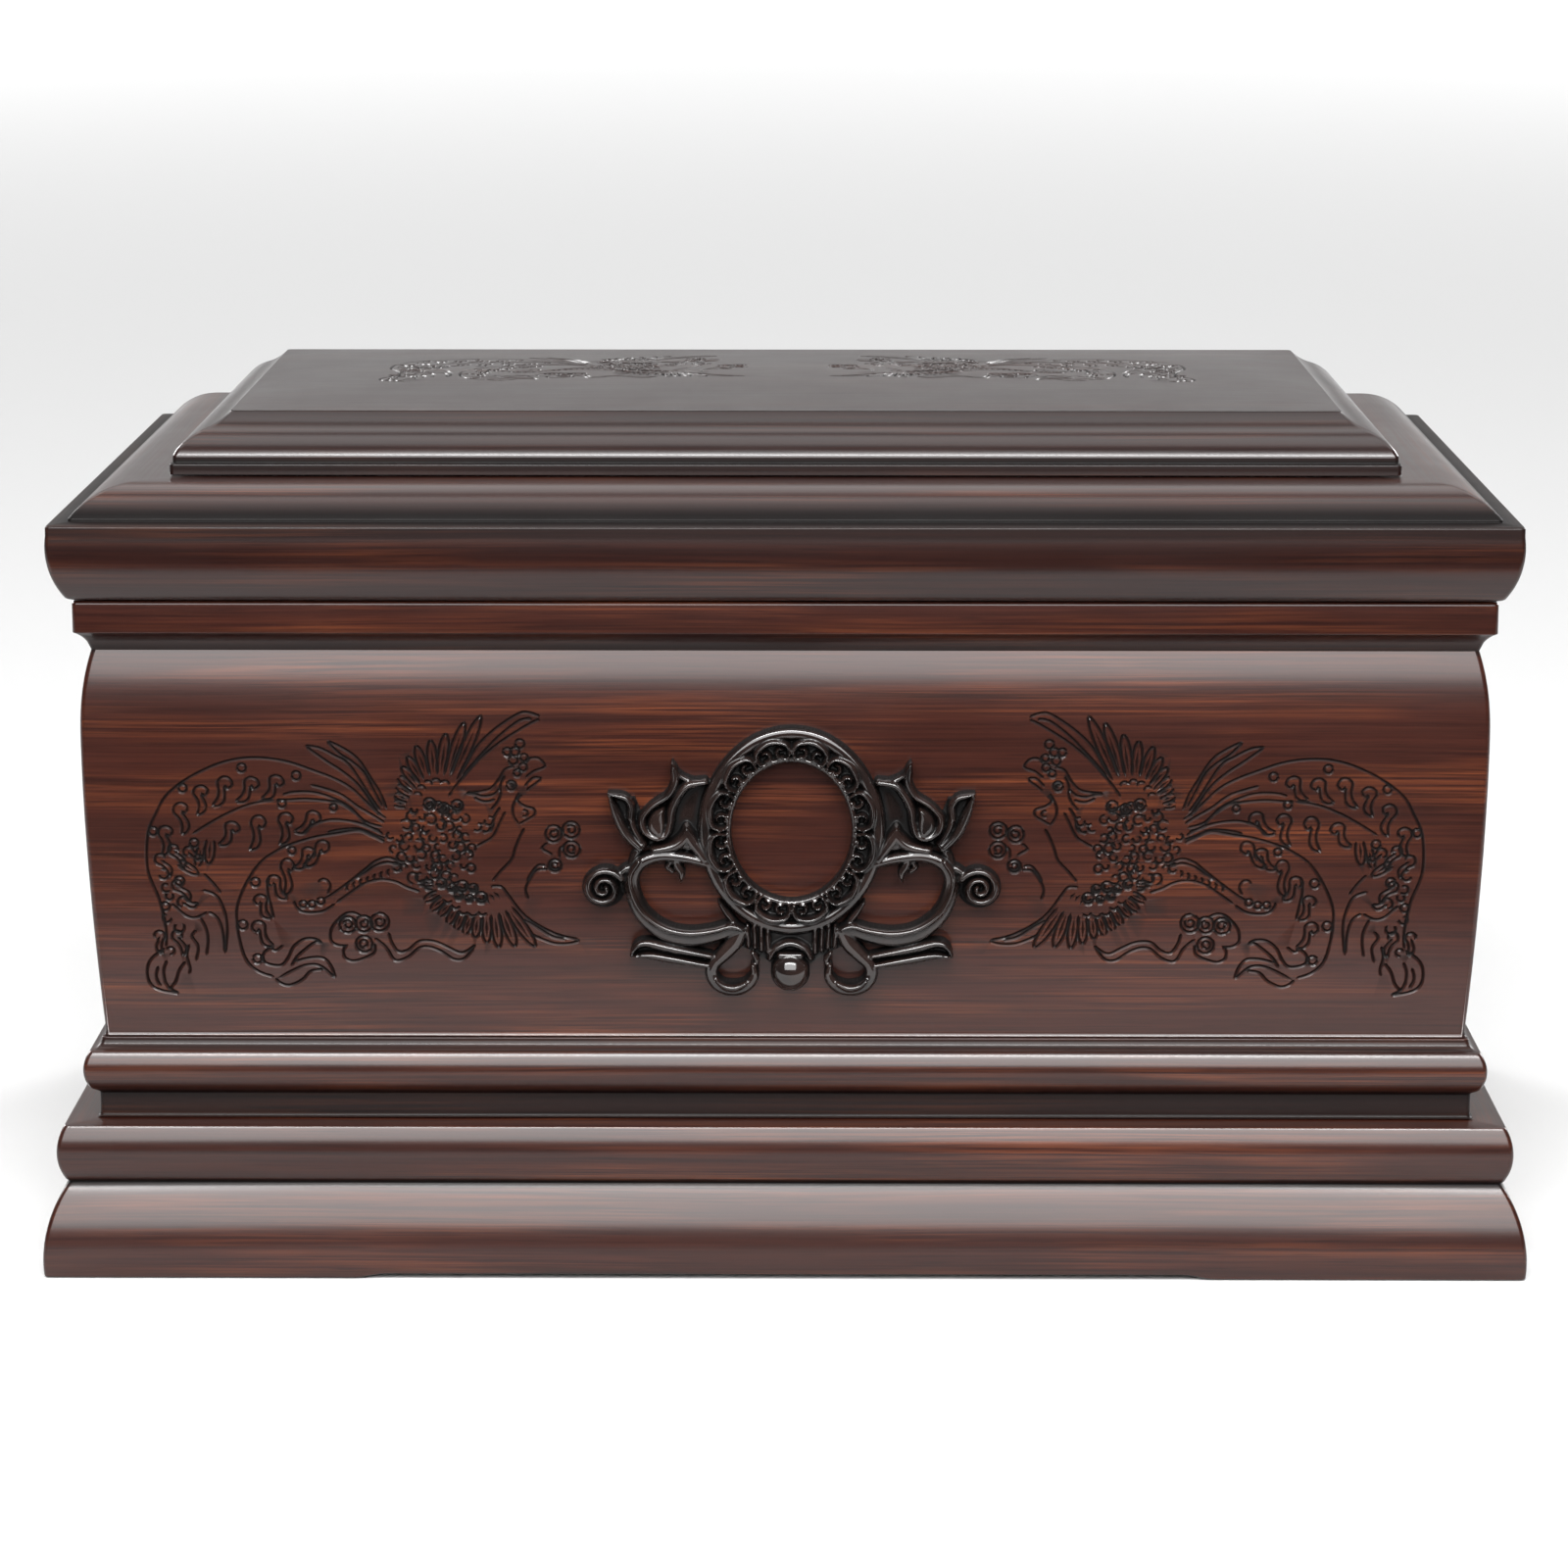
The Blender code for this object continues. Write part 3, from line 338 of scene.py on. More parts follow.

# %% [markdown]
# ## Drawing the phoenix
#
# The front and the lid are engraved with a traditional phoenix: two spread wings, a crested head,
# three long tail plumes and two small clouds. The carver cuts one drawing four times.
# A texture could fake the lines, but they then have no depth from the side. So the bird is
# drawn here as lines on a fine grid with its centre at (0, 0), and each line is cut into the
# wood as a real V-shaped groove. Small repeated shapes (feathers, beads, hooks, curls)
# come from helpers, and only the lines that give the bird its character are listed point by point.


# %% Helpers for the drawing
def rounded(points, steps=4):
    """A smooth line through the points."""
    last = len(points) - 1
    line = []
    for index in range(last):
        near = [points[min(max(index + shift, 0), last)] for shift in (-1, 0, 1, 2)]
        for step in range(steps):
            t = step / steps
            weights = (
                0.5 * (-t + 2 * t * t - t**3),
                0.5 * (2 - 5 * t * t + 3 * t**3),
                0.5 * (t + 4 * t * t - 3 * t**3),
                0.5 * (-t * t + t**3),
            )
            mixed = [sum(w * p[axis] for w, p in zip(weights, near)) for axis in range(len(points[0]))]
            line.append(tuple(mixed))
    line.append(tuple(points[-1]))
    return line


def smooth(*curves):
    """A smooth line through each of the curves."""
    return [rounded(curve) for curve in curves]


def circle_line(x, y, radius, start=0.0, sweep_angle=385.0, steps=11, shrink=0.0):
    """Part of a circle, or of a spiral where shrink is over 0."""
    line = []
    for step in range(steps + 1):
        share = step / steps
        angle = math.radians(start + sweep_angle * share)
        reach = radius * (1.0 - shrink * share)
        line.append((x + reach * math.cos(angle), y + reach * math.sin(angle)))
    return line


def feather(root, tip, width):
    """The two edges and the quill of a pointed feather."""
    length = math.hypot(tip[0] - root[0], tip[1] - root[1])
    along = ((tip[0] - root[0]) / length, (tip[1] - root[1]) / length)
    side = (-along[1] * width, along[0] * width)

    def at(share, out):
        return (
            root[0] + along[0] * length * share + side[0] * out,
            root[1] + along[1] * length * share + side[1] * out,
        )

    left = rounded([at(0.05, 0.7), at(0.45, 1.0), at(0.8, 0.75), at(1.0, 0.0)], 3)
    right = rounded([at(0.05, -0.7), at(0.45, -1.0), at(0.8, -0.75), at(1.0, 0.0)], 3)
    return [left, right, [at(0.1, 0.0), at(0.45, 0.05), at(0.8, 0.0)]]


def hook(head, tip, width, flip=1):
    """A plume's barb: a round head that runs out in an S-shaped tail, drawn as two lines."""
    stretch = 1.2
    tip = (head[0] + stretch * (tip[0] - head[0]), head[1] + stretch * (tip[1] - head[1]))
    length = math.hypot(tip[0] - head[0], tip[1] - head[1])
    along = ((tip[0] - head[0]) / length, (tip[1] - head[1]) / length)
    side = (-along[1] * width * flip, along[0] * width * flip)
    outer = (
        (0.34, -0.35), (0.16, -0.62), (0.0, -0.2), (0.02, 0.4),
        (0.2, 0.75), (0.45, 0.45), (0.7, 0.4), (1.0, 0.75),
    )
    inner = ((0.34, -0.35), (0.28, 0.05), (0.5, -0.15), (0.72, -0.25), (0.9, 0.05), (1.0, 0.75))
    lines = []
    for shape in (outer, inner):
        placed = [
            (head[0] + along[0] * length * t + side[0] * s, head[1] + along[1] * length * t + side[1] * s)
            for t, s in shape
        ]
        lines.append(rounded(placed, 3))
    return lines


# %% The wings
def wing_lines():
    """The spread upper wing and the lower wing, with their coverts and shoulder rings."""
    lines = []
    upper = (
        ((-87, 72), (-119, 143), 5.6), ((-82, 75), (-102, 136), 5.4), ((-76, 77), (-83, 124), 5.2),
        ((-70, 77), (-67, 117), 5.0), ((-63, 76), (-52, 111), 4.8), ((-58, 72), (-43, 100), 4.4),
        ((-55, 67), (-37, 89), 4.2), ((-51, 62), (-33, 79), 4.0), ((-48, 58), (-31, 69), 3.8),
        ((-45, 53), (-29, 60), 3.6), ((-42, 49), (-28, 51), 3.4),
    )
    lower = (
        ((-141, -56), (-171, -101), 5.4), ((-136, -59), (-150, -101), 5.2),
        ((-129, -62), (-133, -102), 5.0),
        ((-121, -65), (-121, -97), 4.8), ((-112, -67), (-109, -91), 4.6), ((-105, -66), (-98, -88), 4.2),
        ((-97, -64), (-89, -83), 4.0), ((-90, -59), (-81, -77), 4.0), ((-84, -54), (-72, -68), 3.8),
        ((-79, -48), (-64, -62), 3.8), ((-74, -42), (-57, -52), 3.6), ((-69, -33), (-52, -33), 3.4),
    )
    for root, tip, width in upper + lower:
        lines += feather(root, tip, width)
    # The long first feather of each wing, as two edges and a quill.
    lines += smooth(
        [(-178, 140), (-167, 144), (-156, 143), (-133, 128), (-115, 111), (-105, 95), (-92, 74)],
        [(-170, 138), (-157, 136), (-136, 120), (-115, 98), (-97, 77)],
        [(-178, 138), (-164, 131), (-136, 113), (-113, 93), (-93, 70), (-84, 57)],
        [(-216, -92), (-191, -86), (-161, -68), (-142, -43), (-136, -36), (-125, -36)],
        [(-203, -92), (-188, -89), (-172, -79), (-158, -70)],
        [(-216, -93), (-205, -96), (-190, -96), (-176, -91), (-166, -86)],
    )
    # Short covert scallops where the feathers start, and rings on the shoulders.
    for x, y in ((-81, 70), (-72, 72), (-64, 70), (-57, 65), (-53, 58)):
        lines.append(circle_line(x, y, 4.0, 20, 180, 6))
    for x, y in ((-117, -62), (-107, -63), (-98, -61), (-90, -55), (-82, -49)):
        lines.append(circle_line(x, y, 4.4, 190, 180, 6))
    for x, y, radius in (
        (-93, 48, 6), (-79, 45, 6), (-65, 50, 6), (-116, -48, 6), (-104, -49, 4), (-93, -46, 4.5),
        (-108, -38, 4.5), (-97, -36, 6), (-86, -38, 4), (-76, -33, 5),
    ):
        lines.append(circle_line(x, y, radius))
        lines.append(circle_line(x, y, radius * 0.45, 90, 300, 6))
    for x, y in ((-135, -50), (-130, -52), (-125, -56)):
        lines.append([(x, y), (x + 3, y + 5), (x + 7, y + 9)])
    return lines


# %% The head, neck and body
def body_lines():
    """The crested head, the neck, and the body covered in small scales and curls."""
    lines = []
    for x, y, radius in (
        (-157, 112, 4.6), (-152, 104, 4.4), (-144, 104, 4.0), (-150, 95, 4.4), (-161, 98, 3.8),
        (-160, 88, 4.0), (-154, 82, 3.6), (-148, 69, 5.0),
    ):
        lines.append(circle_line(x, y, radius))
    lines.append(circle_line(-148, 69, 1.8, 0, 300, 5))
    # Open beak, wattle, and the crest that streams back from the head.
    lines += smooth(
        [(-162, 77), (-171, 84), (-182, 89), (-176, 97), (-167, 97), (-162, 91)],
        [(-161, 68), (-170, 77), (-178, 76), (-168, 68), (-162, 63)],
        [(-159, 60), (-154, 54), (-161, 48), (-170, 45), (-171, 39), (-164, 34), (-155, 29)],
        [(-155, 29), (-150, 37), (-149, 46), (-152, 54), (-156, 62)],
    )
    lines.append(circle_line(-161, 40, 4, 40, 300, 7, 0.4))
    lines += smooth(
        [(-152, 89), (-142, 86), (-135, 75), (-127, 66), (-116, 63), (-102, 62)],
        [(-136, 66), (-130, 60), (-120, 58), (-111, 60), (-102, 61)],
        [(-133, 56), (-126, 53), (-118, 53), (-110, 57)],
        [(-142, 80), (-137, 70), (-137, 60), (-133, 51), (-127, 44)],
        # Neck, with little feather ticks, and the loose strand in front of it.
        [(-137, 48), (-130, 36), (-128, 24), (-118, 20)],
        [(-142, 43), (-136, 31), (-129, 17), (-121, 11), (-112, 6)],
    )
    for x, y in ((-128, 40), (-125, 32), (-122, 25), (-117, 33), (-113, 26)):
        lines.append(circle_line(x, y, 4.0, 150, 190, 6))
    lines.append(rounded([(-161, 26), (-155, 14), (-151, 4), (-147, -8), (-136, -20), (-127, -31)]))
    # Curls over the body, each a little larger or smaller, shifted and turned another way, as by hand.
    for row in range(9):
        for place in range(9):
            x = -108 + 11.4 * place + 5.7 * (row % 2) + 2.2 * math.sin(2.3 * row + 4.1 * place)
            y = 46 - 10.2 * row + 2.2 * math.cos(3.7 * row + 1.9 * place)
            if ((x + 68) / 46) ** 2 + ((y - 6) / 43) ** 2 > 1.0:
                continue
            radius = 5.4 + 1.3 * math.sin(1.7 * row * place + place)
            turn = 67.0 * row + 101.0 * place
            lines.append(circle_line(x, y, radius, turn, 330, 11, 0.45))
    return lines


# %% The legs and the two clouds
def puff(x, y, radius, start):
    """One round of a cloud: a ring with a spiral in it."""
    ring = circle_line(x, y, radius, start, 385, 14, 0.10)
    return [ring, circle_line(x, y, radius * 0.6, start + 60, 400, 11, 0.55)]


def leg_and_cloud_lines():
    """The lifted leg with its claw, and two clouds with their ribbons."""
    lines = smooth(
        [(-31, -9), (-21, -6), (-9, -10), (1, -18), (17, -31), (33, -43), (44, -50)],
        [(-55, -42), (-41, -37), (-29, -31), (-14, -29), (2, -33), (17, -43), (32, -54)],
        [(32, -54), (44, -62), (58, -64), (68, -62), (73, -56), (74, -50)],
        [(40, -44), (37, -36), (40, -30), (46, -29), (50, -34)],
    )
    for x, y in ((47, -52), (56, -55), (65, -55)):
        lines.append(circle_line(x, y, 3.6))
    for step in range(7):
        x, y = -24 + 7 * step, -17 - 2.6 * step
        lines.append(rounded([(x, y), (x + 3, y - 4), (x + 1, y - 9)], 2))
    lines.append(rounded([(-33, -14), (-22, -11), (-10, -14), (0, -21), (10, -27)]))
    # Cloud in front of the breast.
    for x, y, radius, start in (
        (-208, 23, 9, -40), (-190, 19, 9, 30), (-208, 3, 9, 150), (-191, -14, 7, 120),
    ):
        lines += puff(x, y, radius, start)
    lines += smooth(
        [(-200, 8), (-196, 2), (-196, -6)],
        [(-184, 10), (-178, 4), (-184, 0), (-190, -4)],
        [(-184, -18), (-173, -19), (-164, -31), (-161, -40), (-164, -50)],
        [(-182, -14), (-174, -14), (-167, -22), (-163, -30)],
    )
    # Cloud under the tail, with its long double ribbon.
    for x, y, radius, start in (
        (-12, -74, 10, 60), (4, -76, 9, 20), (4, -97, 9, 200), (20, -77, 9, -60),
    ):
        lines += puff(x, y, radius, start)
    lines += smooth(
        [(6, -68), (14, -64), (24, -66), (36, -79), (38, -92), (32, -98), (22, -99)],
        [(20, -97), (25, -103), (24, -111), (16, -115), (4, -112), (-6, -106), (-7, -96)],
        [
            (-110, -97), (-101, -104), (-93, -106), (-81, -100), (-67, -94), (-52, -94), (-41, -103),
            (-31, -105), (-24, -95), (-21, -84),
        ],
        [
            (-108, -100), (-98, -112), (-87, -113), (-75, -105), (-63, -100), (-52, -101), (-40, -111),
            (-27, -114), (-18, -100), (-6, -90),
        ],
    )
    return lines


# %% The tail
def tail_lines():
    """Two thin streamers and three long plumes, with their barbs, beads and end tufts."""
    lines = smooth(
        [(-22, 44), (-16, 60), (-8, 74), (7, 97), (26, 110), (38, 115)],
        [(-18, 46), (-8, 66), (1, 83), (13, 94), (25, 102), (38, 115)],
        [(-16, 42), (-4, 60), (15, 90), (30, 100), (46, 108), (60, 110)],
        [(-14, 38), (-8, 48), (7, 70), (23, 84), (38, 94), (60, 110)],
        # Great plume, outer edge, then the lines that run beside it from the root.
        [
            (-22, 34), (-8, 45), (12, 65), (30, 76), (53, 85), (76, 93), (99, 97), (122, 97), (145, 92),
            (168, 82), (186, 71), (202, 57), (212, 39), (219, 24), (222, 5), (222, -17), (218, -32),
            (211, -50), (206, -75), (205, -90), (206, -101),
        ],
        [(-20, 30), (-8, 38), (7, 47), (23, 59), (38, 65), (56, 70)],
        [(-18, 26), (1, 32), (16, 47), (35, 57), (53, 62), (72, 62), (84, 59)],
        [(-16, 22), (-2, 27), (7, 38), (24, 50), (38, 53), (60, 55), (78, 54), (90, 54)],
        [(90, 54), (114, 50), (137, 41), (157, 30), (176, 18)],
        [(-18, 18), (-8, 24), (7, 30), (23, 33), (38, 33), (53, 28), (64, 19)],
        [(-20, 14), (-8, 18), (7, 24), (26, 23), (40, 20)],
    )
    for head, tip in (
        ((86, 78), (96, 56)), ((111, 76), (122, 53)), ((139, 77), (146, 50)), ((166, 68), (163, 43)),
        ((188, 50), (180, 24)), ((203, 26), (200, 1)),
    ):
        lines += hook(head, tip, 11.0)
    for x, y, radius in ((69, 79, 4.4), (124, 87, 4.4), (184, 66, 4.2), (215, 21, 4.4), (190, -31, 4.8)):
        lines.append(circle_line(x, y, radius))
    # Down the far side of the great plume: scrolls, then pointed inner feathers and the end tuft.
    for x, y, radius, start in (
        (206, -24, 6, 60), (204, -38, 5, 200), (201, -47, 4.5, 120), (205, -58, 5, 10), (204, -70, 5, 160),
        (192, -80, 6, 120), (201, -105, 4.4, 0),
    ):
        lines.append(circle_line(x, y, radius, start, 310, 9, 0.3))
    for head, tip, flip in (
        ((198, 6), (184, -12), 1), ((184, 2), (170, -8), -1), ((212, -4), (198, -20), 1),
        ((196, -32), (180, -46), 1), ((192, -52), (176, -58), -1), ((196, -84), (186, -104), 1),
        ((212, -84), (214, -104), -1),
    ):
        lines += hook(head, tip, 8.0, flip)
    lines += smooth(
        [(168, -40), (153, -46), (145, -63), (143, -79), (144, -94), (146, -108)],
        [(162, -63), (153, -69), (148, -82), (146, -108)],
        [(170, -69), (164, -82), (163, -95), (165, -110)],
        [(174, -82), (179, -89), (173, -100), (176, -116)],
        [(182, -97), (185, -109), (182, -123), (184, -131)],
        [(162, -63), (173, -69), (183, -68), (194, -59), (200, -54)],
        [(206, -101), (222, -114), (226, -129), (222, -141), (211, -147), (193, -150)],
        [(186, -115), (193, -125), (197, -137), (202, -145), (193, -150)],
        [(205, -114), (209, -125), (208, -137), (203, -146)],
        [(214, -120), (217, -132), (212, -143)],
    )
    # Second plume: barbs, beads, and two leaf-shaped ends.
    for head, tip in (
        ((48, 40), (64, 20)), ((80, 40), (80, 12)), ((107, 37), (110, 6)), ((132, 30), (141, 8)),
    ):
        lines += hook(head, tip, 11.0)
    for x, y, radius in ((84, 50, 4.0), (32, 46, 3.5), (174, 9, 4.4)):
        lines.append(circle_line(x, y, radius))
    for root, tip, width in (
        ((157, 15), (160, -14), 5.0), ((166, 6), (172, -17), 4.0), ((192, -10), (170, -24), 4.0),
    ):
        lines += feather(root, tip, width)
    lines += smooth(
        [(166, -22), (155, -34), (148, -44)],
        # Third plume, curling under to its end tuft.
        [
            (-20, 10), (-8, 16), (7, 22), (29, 19), (53, 15), (78, 7), (90, 1), (105, -9), (117, -24),
            (127, -43), (133, -63), (131, -91), (124, -115), (111, -127), (96, -132),
        ],
        [(99, -25), (101, -40), (98, -56), (95, -71)],
    )
    for head, tip, flip in (
        ((40, 10), (56, -14), 1), ((55, 3), (66, -17), 1), ((80, -8), (78, -40), 1),
        ((97, -26), (88, -48), -1), ((110, -46), (105, -68), -1), ((114, -74), (104, -98), -1),
    ):
        lines += hook(head, tip, 10.0, flip)
    for x, y, radius in ((113, -32, 4.6), (127, -77, 4.8), (113, -113, 4.6), (75, 1, 3.8)):
        lines.append(circle_line(x, y, radius))
    lines += smooth(
        [
            (46, -97), (53, -92), (65, -92), (76, -100), (82, -112), (90, -120), (105, -117), (107, -108),
            (100, -101),
        ],
        [(100, -101), (94, -104), (86, -98)],
        [(46, -97), (53, -95), (62, -101), (73, -111), (79, -121)],
        [(34, -134), (38, -121), (46, -112), (61, -112), (75, -116)],
        [(34, -134), (48, -121), (61, -119), (75, -124), (93, -134)],
        [(46, -124), (59, -126), (68, -135), (81, -141), (91, -138), (96, -132)],
    )
    return lines


phoenix = wing_lines() + body_lines() + leg_and_cloud_lines() + tail_lines()
print(f"one phoenix is drawn with {len(phoenix)} lines")

# %% [markdown]
# ## Cutting the grooves
#
# Each line becomes a narrow strip: two borders on the surface and a bottom between them.
# The strips and a loose grid of points are joined into triangles with a constrained Delaunay
# triangulation, which keeps every border as an edge. Then each point is sunk by its distance
# from the nearest line, as a V-shaped chisel would sink it, and the flat sheet is laid on the
# curved wood. Only the grooves cost triangles this way, and the wood between stays smooth.

# %% Grooves as strips
GROOVE_HALF_WIDTH = 0.50 * MM
GROOVE_SLOPE = 0.95
BIRD_UNIT = 0.238 * MM


def groove_strips(lines, half_width):
    """Points and edges of the strips along the lines. Each strip comes to a point at both ends."""
    closest = half_width * 0.7
    points = []
    edges = []
    segments = []
    for line in lines:
        line = [Vector(p) for p in line]
        kept = [line[0]]
        for p in line[1:]:
            if (p - kept[-1]).length > closest:
                kept.append(p)
        if len(kept) < 3:
            continue
        rows = []
        halves = []
        for index, p in enumerate(kept):
            if index in (0, len(kept) - 1):
                points.append(tuple(p))
                rows.append([len(points) - 1] * 3)
                halves.append(0.0)
                continue
            arriving = (p - kept[index - 1]).normalized()
            leaving = (kept[index + 1] - p).normalized()
            middle = arriving + leaving
            middle = middle.normalized() if middle.length > 0.2 else arriving
            side = Vector((-middle.y, middle.x)) * half_width / max(0.7, middle.dot(arriving))
            base = len(points)
            points += [tuple(p - side), tuple(p), tuple(p + side)]
            rows.append([base, base + 1, base + 2])
            halves.append(half_width)
        for low, high in zip(rows, rows[1:]):
            edges += [(a, b) for a, b in zip(low, high) if a != b]
        for a, b, half_a, half_b in zip(kept, kept[1:], halves, halves[1:]):
            segments.append((a.x, a.y, b.x, b.y, half_a, half_b))
    return points, edges, segments


def groove_depths(flat, segments):
    """How deep the grooves are at each of the flat points."""
    depth = np.zeros(len(flat))
    x, y = flat[:, 0], flat[:, 1]
    for ax, ay, bx, by, half_a, half_b in segments:
        reach = max(half_a, half_b)
        near = (x > min(ax, bx) - reach) & (x < max(ax, bx) + reach)
        near &= (y > min(ay, by) - reach) & (y < max(ay, by) + reach)
        where = np.flatnonzero(near)
        if not len(where):
            continue
        length = (bx - ax) ** 2 + (by - ay) ** 2
        along = np.clip(((x[where] - ax) * (bx - ax) + (y[where] - ay) * (by - ay)) / length, 0, 1)
        away = np.hypot(x[where] - ax - along * (bx - ax), y[where] - ay - along * (by - ay))
        half = half_a + along * (half_b - half_a)
        depth[where] = np.maximum(depth[where], (half - away) * GROOVE_SLOPE)
    return depth


# %% An engraved sheet laid on the wood
def engraved_sheet(lines, outline, spacing, half_width, place, level_lines=0):
    """Points, triangles, directions and depths of an engraved face.

    place(x, y) gives a point and its direction. Up to level_lines, the outline is tied straight across.
    """
    points, edges, segments = groove_strips(lines, half_width)
    shift = len(outline)
    edges = [(a + shift, b + shift) for a, b in edges]
    edges += [(index, (index + 1) % shift) for index in range(shift)]
    edges += [(index, shift - 1 - index) for index in range(1, level_lines)]
    border = np.array(outline)
    low, high = border.min(0), border.max(0)
    columns = int((high[0] - low[0]) / spacing)
    rows = int((high[1] - low[1]) / spacing)
    drawn = np.array(points)
    cells = {(int(x / spacing * 2), int(y / spacing * 2)) for x, y in drawn}
    grid = []
    for column in range(1, columns):
        for row in range(1, rows):
            x = low[0] + (high[0] - low[0]) * column / columns
            y = low[1] + (high[1] - low[1]) * row / rows
            margin = np.interp(y, border[: shift // 2, 1], border[: shift // 2, 0]) - abs(x)
            if margin > spacing * 0.4 and (int(x / spacing * 2), int(y / spacing * 2)) not in cells:
                grid.append((x, y))
    flat_points = [Vector(p) for p in list(outline) + points + grid]
    result = delaunay_2d_cdt(flat_points, edges, [], 1, 1e-7, False)
    flat = np.array([tuple(p) for p in result[0]])
    depth = groove_depths(flat, segments)
    placed = []
    directions = []
    for (x, y), sunk in zip(flat, depth):
        point, direction = place(x, y)
        placed.append(tuple(point - direction * sunk))
        directions.append(direction)
    return placed, [tuple(face) for face in result[2]], directions, depth


def add_sheet(piece, sheet, sharper_than=25.0):
    """Joins an engraved sheet to a piece. The untouched wood keeps its true surface direction."""
    placed, triangles, directions, depth = sheet
    mesh = piece.data
    unsunk = {index for index, sunk in enumerate(depth) if sunk < 1e-6}
    hollows = [value.value for value in mesh.attributes["hollow"].data]
    # A groove counts as fully hollow from this depth on, well above its bottom, and the finish paints it
    # dark there as shade.
    full_depth = 0.40 * GROOVE_HALF_WIDTH * GROOVE_SLOPE
    hollows += [min(1.0, sunk / full_depth) for sunk in depth]
    old_points = [tuple(vert.co) for vert in mesh.vertices]
    old_faces = [tuple(face.vertices) for face in mesh.polygons]
    old_sharp = {tuple(sorted(edge.vertices)) for edge in mesh.edges if edge.use_edge_sharp}
    shift = len(old_points)
    new_faces = []
    for face in triangles:
        a, b, c = (Vector(placed[corner]) for corner in face)
        turned = (b - a).cross(c - a).dot(directions[face[0]]) < 0
        face = tuple(reversed(face)) if turned else face
        new_faces.append(face)
    joined = bpy.data.meshes.new(piece.name)
    all_faces = old_faces + [tuple(corner + shift for corner in face) for face in new_faces]
    joined.from_pydata(old_points + placed, [], all_faces)
    keep_hollows(joined, hollows)
    joined.polygons.foreach_set("use_smooth", [True] * len(all_faces))
    work = bmesh.new()
    work.from_mesh(joined)
    for edge in work.edges:
        key = tuple(sorted(vert.index for vert in edge.verts))
        if key in old_sharp or len(edge.link_faces) != 2:
            edge.smooth = False
        elif key[0] >= shift:
            edge.smooth = edge.calc_face_angle(0.0) < math.radians(sharper_than)
    work.to_mesh(joined)
    work.free()
    loop_directions = [(0.0, 0.0, 0.0)] * sum(len(face) for face in old_faces)
    for face in new_faces:
        if all(corner in unsunk for corner in face):
            loop_directions += [tuple(directions[corner]) for corner in face]
        else:
            loop_directions += [(0.0, 0.0, 0.0)] * 3
    joined.normals_split_custom_set(loop_directions)
    piece.data = joined
    print(f"{piece.name}: {len(new_faces)} engraved triangles")


def place_birds(spread, centre, scale):
    """The drawing cut twice, facing each other, in metres."""
    lines = []
    for side in (1, -1):
        for line in phoenix:
            lines.append([(side * (spread + x * scale), centre + y * scale) for x, y in line])
    return lines


# %% [markdown]
# ## The case
#
# The case is four boards glued up into a hollow box whose faces swell towards the top. Its
# profile is a power curve below the widest place and a steeper one above it, then a slanted
# neck and a straight course under the lid. The sweep leaves the front of the swelling part
# open, and the engraved sheet closes it with the very same edge points.


# %% Case profile
FOOT_FLARE = 1.0 * MM
FLARE_WIDTH = 0.5 * MM
WIDEST_INSET = 6.1 * MM
TAPER_BELOW = 3.7 * MM
TAPER_ABOVE = 2.8 * MM
COURSE_INSET = 5.1 * MM


def case_inset(z):
    """How far the case's outer face stands in from the lid's rim at height z."""
    if z <= CASE_WIDEST:
        flare = max(0.0, 1.0 - (z - CASE_BOTTOM) / FOOT_FLARE)
        below = (CASE_WIDEST - z) / (CASE_WIDEST - CASE_BOTTOM)
        return WIDEST_INSET + TAPER_BELOW * below**1.75 - FLARE_WIDTH * flare**2
    above = (z - CASE_WIDEST) / (CASE_NECK - CASE_WIDEST)
    return WIDEST_INSET + TAPER_ABOVE * above**2.4


def on_front(x, z):
    """A point of the case's front face and the way it faces."""
    slope = (case_inset(z + PROBE) - case_inset(z - PROBE)) / (2.0 * PROBE)
    point = Vector((x, -(LID_DEPTH / 2.0 - case_inset(z)), z))
    return point, Vector((0.0, -1.0, slope)).normalized()


levels = [CASE_BOTTOM + FOOT_FLARE * step / 3 for step in range(4)]
levels += [CASE_BOTTOM + (CASE_WIDEST - CASE_BOTTOM) * step / 24 for step in range(1, 25)]
levels += [CASE_WIDEST + (CASE_NECK - CASE_WIDEST) * step / 16 for step in range(1, 17)]
case_profile = [(case_inset(z), z) for z in levels]
neck = arc((8.7 * MM, CASE_NECK + 0.5 * MM), (COURSE_INSET, COURSE_BOTTOM), -0.6 * MM, 10)
upper_profile = neck + [(COURSE_INSET, CASE_TOP - 0.6 * MM), (5.6 * MM, CASE_TOP)]
upper_profile += [(CHAMBER_INSET, CASE_TOP), (CHAMBER_INSET, CASE_BOTTOM)]
eased_upper = ease_arrises([(8.9 * MM, CASE_NECK)] + upper_profile)[4:]
full_profile = case_profile + eased_upper
case = make_piece("case_walls", *sweep(full_profile, open_front=range(len(levels) - 1)))

# %% Engrave the front
SHEET_SPACING = 5.0 * MM
BIRD_SPREAD = 100.8 * MM
BIRD_RISE = 46.2 * MM

front_outline = [(LID_WIDTH / 2.0 - case_inset(z) - CORNER_RADIUS, z) for z in levels]
front_outline += [(-x, z) for x, z in reversed(front_outline)]
front_lines = place_birds(BIRD_SPREAD, CASE_BOTTOM + BIRD_RISE, BIRD_UNIT)
front_sheet = engraved_sheet(
    front_lines, front_outline, SHEET_SPACING, GROOVE_HALF_WIDTH, on_front, level_lines=5
)
add_sheet(case, front_sheet)
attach(case, "root")
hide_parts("case")

# %% [markdown]
# ## The lid's top board
#
# The board has two small square edges, an ogee slope, and a top that swells by a little over
# one millimetre in the middle. The same two birds are cut into it, a little smaller.

# %% Top board
BOARD_INSET = 26.4 * MM
OGEE_INSET = 27.1 * MM
LID_BIRD_SPREAD = 56.0 * MM
LID_BIRD_SET_BACK = 14.0 * MM
LID_BIRD_SHARE = 0.88

